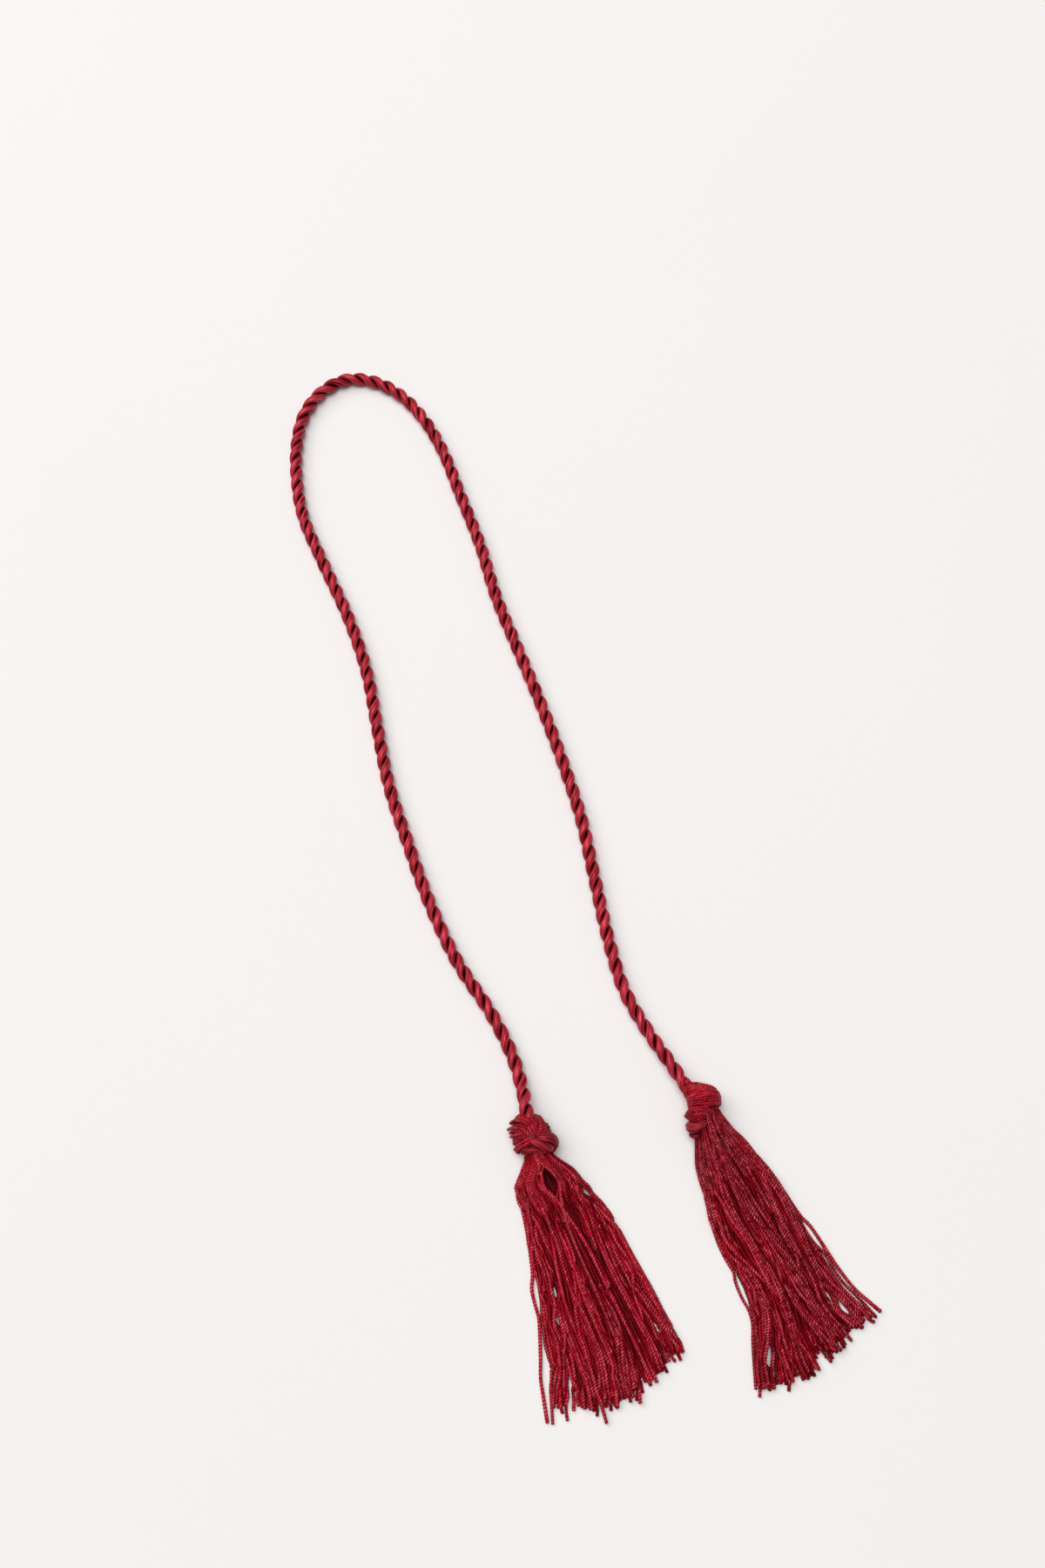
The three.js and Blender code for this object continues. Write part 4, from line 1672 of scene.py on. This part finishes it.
def left_tassel() -> Tassel:
    """The tassel at the cord's left end.

    Returns:
        The tassel, with its outline, single strands, gaps and bands as in the photo.
    """
    skirt = Skirt(
        edges=(
            (-3.5, -3.6, 3.6), (0, -4.9, 5.0), (2.5, -7.3, 7.0), (5, -9.5, 8.7), (8, -9.8, 9.9),
            (11, -9.5, 11.4), (14, -9.5, 12.7), (20, -10.4, 15.0), (25.5, -11.0, 16.1),
            (31, -11.1, 17.1), (36.7, -11.9, 18.2), (42.5, -13.4, 19.4), (48, -14.4, 20.5),
            (54, -15.2, 21.8), (60, -16.7, 22.6), (72, -19.8, 24.0),
        ),
        cut=(
            (-1.0, 68.5), (-0.8, 66.5), (-0.35, 69.5), (0.1, 68.5), (0.5, 66.5), (0.8, 64.0),
            (1.0, 60.5),
        ),
        loose=(
            ((-2, -3.5, 3.0), (1.4, -6.1, 3.0), (4.5, -8.5, 2.2), (7.1, -9.0, 1.6),
             (11.2, -9.0, 1.2), (17, -9.6, 0.9), (24.1, -10.7, 0.6), (29.5, -11.8, 0.6),
             (33, -13.2, 0.6), (37.1, -13.6, 0.7), (40.9, -13.7, 1.0), (43.9, -14.4, 0.9),
             (48.2, -15.6, 0.6), (52.4, -16.9, 0.6), (56.5, -18.2, 0.6), (60.9, -18.9, 0.6),
             (68, -20.0, 0.6)),
            ((-2, -1.3, 6.8), (0.5, -0.9, 7.0), (4.3, -1.0, 6.6), (7.9, -1.1, 6.1),
             (11.2, 0.6, 5.6), (16, 2.4, 5.2), (26, 5.2, 4.8), (40, 7.4, 4.0), (54, 9.6, 3.0),
             (66.5, 11.4, 1.2)),
            ((-2, -0.6, 6.9), (0.5, -0.3, 7.1), (4.6, 2.3, 6.8), (8.2, 3.2, 6.2), (11.9, 2.5, 5.7),
             (16, 2.0, 5.4), (26, 2.4, 4.9), (40, 4.0, 4.2), (54, 5.2, 3.0), (67.5, 6.2, 1.2)),
            ((-2, -0.4, 4.2), (3, 0.5, 3.2), (7, 1.0, 2.2), (12, 0.9, 1.8), (26, 1.2, 1.6),
             (46, 2.4, 1.4), (67.0, 4.0, 0.8)),
            ((-2, 0.3, 4.0), (3, 1.4, 2.8), (6.5, 2.0, 1.6), (9, 2.0, 1.4), (12, 1.9, 1.4),
             (26, 2.6, 1.6), (46, 4.4, 1.4), (66.0, 6.6, 0.8)),
        ),
        partings=(
            (7.0, 0.9, 10.5, 4.2, 0), (12.6, 9.9, 6.0, 1.9, 1), (35.2, -7.0, 7.0, 1.2, 1),
            (44.2, -8.9, 9.5, 1.3, 1),
        ),
        sweeps=((0.55, 0.97, -0.95, -0.1, 0.30, 7, 26), (0.0, 0.5, 0.0, 0.6, -0.18, 7, 26)),
        seed=11,
    )
    knot = Knot(
        profile=(
            (-14.0, -2.7, 2.2, 6.8), (-13.0, -3.6, 2.9, 7.6), (-11.0, -4.9, 4.1, 9.0),
            (-9.3, -6.0, 4.6, 9.5), (-7.0, -5.8, 5.4, 9.5), (-5.0, -5.4, 6.6, 9.3),
            (-3.6, -4.4, 7.0, 8.9), (-1.6, -2.9, 6.0, 8.2),
        ),
        heart=(-7.5, 0.3, 4.0),
        bands=(
            YarnBand(((-12.1, -3.0, 1.5, 6.0), (-11.9, -4.4, 4.6, 6.3), (-11.75, -3.0, 8.0, 6.3),
                      (-10.4, -1.1, 9.3, 5.6), (-8.1, 0.0, 9.7, 3.8),
                      (-5.8, 0.4, 8.6, 2.6)), 10, ragged=3.5),
            YarnBand(((-11.4, 0.6, 6.8, 1.2), (-10.6, 0.55, 8.2, 1.6), (-9.4, 0.5, 9.3, 2.1),
                      (-7.7, 0.4, 9.8, 2.2), (-5.8, 0.35, 8.8, 2.0)), 4),
            YarnBand(((-12.9, 2.3, 3.0, 2.0), (-12.2, 2.7, 6.0, 2.6), (-10.7, 2.7, 8.6, 3.6),
                      (-8.7, 2.2, 9.6, 4.0), (-6.8, 0.9, 9.6, 3.0), (-5.4, 0.2, 8.4, 2.2)), 7),
            YarnBand(((-8.6, 5.2, 1.5, 2.0), (-8.2, 5.4, 3.6, 2.0), (-7.3, 4.8, 6.6, 2.0),
                      (-6.4, 3.1, 8.8, 2.0), (-5.7, 1.2, 9.0, 1.8)), 3),
            YarnBand(((-6.9, -0.4, 9.2, 2.0), (-6.7, -3.2, 8.8, 3.8), (-6.4, -5.4, 5.6, 5.0),
                      (-6.2, -5.0, 1.6, 4.8)), 8, ragged=3.5),
        ),
        ragged=0.35,
        tones=(-0.3, 0.9),
        seed=21,
    )
    tie = (
        SatinBight(((-6.5, -0.4, 7.8, 0.8), (-5.68, 1.56, 8.9, 1.0), (-5.33, 3.03, 9.2, 1.2),
                    (-4.99, 4.51, 8.6, 1.3), (-4.23, 5.5, 7.2, 1.3), (-3.2, 5.8, 5.4, 1.25),
                    (-2.2, 5.2, 3.6, 1.1)), dull=0.34),
        SatinBight(((-7.6, -2.7, 8.0, 0.6), (-6.14, -1.19, 9.2, 0.85), (-4.93, 0.26, 9.5, 0.95),
                    (-3.57, 1.92, 9.1, 1.05), (-2.4, 3.4, 7.9, 1.1), (-1.8, 4.3, 6.0, 1.05))),
        SatinBight(((-6.3, -3.5, 7.0, 0.5), (-4.83, -3.4, 7.5, 0.6), (-3.8, -2.5, 7.8, 0.7),
                    (-3.25, -1.04, 7.9, 0.75), (-3.1, 0.9, 7.6, 0.7)), dull=0.24),
    )
    return Tassel("left", (-43.6, 24.1), -72.1, skirt, NeckYarns(22), knot, tie)


def right_tassel() -> Tassel:
    """The tassel at the cord's right end.

    Returns:
        The tassel, with its outline, single strands, gaps and bands as in the photo.
    """
    skirt = Skirt(
        edges=(
            (-7, 1.0, 7.4), (-4.2, -2.0, 7.5), (0.7, -4.2, 8.5), (3.5, -5.6, 9.5),
            (5.8, -6.6, 10.2), (8.8, -7.4, 10.8), (11.8, -7.9, 11.3), (14.8, -8.5, 12.0),
            (20.3, -10.3, 12.8), (26.5, -11.1, 13.4), (32.6, -10.6, 13.4), (38.7, -10.4, 13.2),
            (44.7, -10.9, 13.9), (50.5, -12.3, 14.3), (55.7, -14.8, 15.2), (60.4, -17.4, 17.0),
            (72, -22.6, 21.8),
        ),
        cut=(
            (-1.0, 66.0), (-0.75, 68.4), (-0.4, 70.4), (-0.1, 68.4), (0.3, 67.4), (0.7, 65.0),
            (1.0, 64.0),
        ),
        loose=(
            ((-5, 6.0, 2.2), (0, 7.6, 2.0), (5, 9.6, 1.6), (12, 10.9, 1.0), (20, 12.6, 0.8),
             (28.7, 13.4, 0.7), (32, 13.9, 0.6), (34.5, 14.8, 0.6), (38.8, 15.4, 0.6),
             (43.7, 15.7, 0.9), (46.8, 16.0, 0.6), (51, 16.6, 0.6), (55.8, 17.6, 0.6),
             (59.5, 19.0, 0.6), (64.5, 21.1, 0.6)),
            ((-5, 5.4, 3.2), (0, 7.0, 2.8), (5, 8.8, 2.4), (12, 10.0, 1.9), (20, 11.8, 1.5),
             (28.7, 12.8, 1.3), (36, 13.1, 1.0), (40, 13.6, 0.8), (44, 14.8, 1.2), (48, 14.9, 0.8),
             (53, 15.6, 0.6), (58, 17.2, 0.6), (65.3, 19.2, 0.6)),
            ((-2, -2.0, 2.4), (3.5, -4.9, 2.2), (12, -7.4, 1.4), (20, -9.7, 1.0),
             (28.1, -11.2, 0.8), (33.2, -11.2, 0.6), (36.3, -11.0, 0.9), (38.8, -11.8, 0.6),
             (43.4, -12.3, 0.6), (47.4, -12.2, 0.8), (50.9, -13.0, 0.6), (55.3, -15.4, 0.6),
             (60.6, -18.0, 0.6), (66.4, -20.7, 0.6)),
        ),
        partings=(
            (54.4, 9.9, 8.5, 1.4, 1), (59.0, 11.9, 11.5, 1.8, 1), (60.6, -13.6, 10.5, 2.6, 1),
        ),
        roots=((-1, -2.6), (-0.3, -3.2), (0.1, -6.0), (1, -6.8)),
        sweeps=(
            (0.7, 1.0, -0.9, 0.1, 0.30, 26, 60), (0.0, 0.5, -0.2, 0.6, -0.25, 34, 64),
            (0.0, 0.6, -1.0, -0.2, -0.16, 38, 64),
        ),
        tones=(-0.45, 0.6),
        neck_shade=0.5,
        seed=12,
    )
    knot = Knot(
        profile=(
            (-16.6, 0.6, 3.4, 6.4), (-15.5, -0.4, 6.0, 8.2), (-13.5, -0.6, 7.9, 9.6),
            (-11.0, -0.9, 9.0, 10.0), (-9.4, -1.2, 9.4, 9.8), (-8.2, -1.6, 9.0, 9.2),
            (-7.2, -2.0, 8.0, 8.4), (-6.2, -2.5, 6.4, 7.4), (-5.2, -2.9, 3.6, 6.4),
        ),
        heart=(-9.5, 3.0, 4.2),
        bands=(
            YarnBand(((-12.2, 0.2, 6.2, 5.0), (-12.3, 1.6, 8.9, 6.4), (-11.3, 5.0, 10.1, 7.0),
                      (-9.6, 7.8, 8.2, 5.6), (-9.0, 8.9, 5.0, 4.6),
                      (-8.9, 8.3, 1.4, 4.4)), 12, 3.2),
            YarnBand(((-6.9, 0.6, 1.2, 2.6), (-6.7, -1.6, 3.0, 2.9), (-6.7, -2.1, 5.4, 3.2),
                      (-6.9, -0.6, 8.5, 4.6), (-6.3, 1.7, 8.9, 3.8), (-5.4, 3.0, 7.6, 2.4),
                      (-5.0, 3.4, 6.0, 2.0)), 8),
        ),
        slant=0.8,
        seed=22,
    )
    tie = (
        SatinBight(((-5.9, -2.6, 3.4, 1.0), (-5.4, -3.0, 4.8, 1.1), (-4.9, -2.9, 6.4, 1.12),
                    (-4.36, -2.3, 7.4, 1.12), (-3.9, -1.3, 7.9, 1.12), (-3.8, 0.0, 7.7, 1.05),
                    (-4.1, 1.6, 6.4, 0.9))),
        SatinBight(((-4.9, -2.9, 2.6, 0.9), (-4.3, -3.3, 4.0, 1.0), (-3.6, -3.1, 5.4, 1.0),
                    (-3.1, -2.2, 6.0, 0.95), (-3.0, -0.8, 5.6, 0.8)), dull=0.34),
        SatinBight(((-3.2, -3.3, 2.6, 0.7), (-2.5, -3.4, 3.8, 0.85), (-1.9, -2.8, 4.5, 0.85),
                    (-1.9, -1.7, 4.4, 0.7)), dull=0.42),
    )
    return Tassel("right", (5.2, 30.6), -63.2, skirt, NeckYarns(26), knot, tie)


def main() -> None:
    """Builds the stage, the cord and the two tassels in order."""
    logging.basicConfig(level=logging.INFO, format="%(name)s %(message)s")
    stage = Stage()
    stage.camera()
    satin = SatinFinish().material()
    TwistedCord().dress(satin)
    stage.floor(FloorFinish().material())
    stage.lights()
    yarn = YarnFinish().material()
    for tassel in (left_tassel(), right_tassel()):
        tassel.build(yarn, satin)


if __name__ == "__main__":
    main()
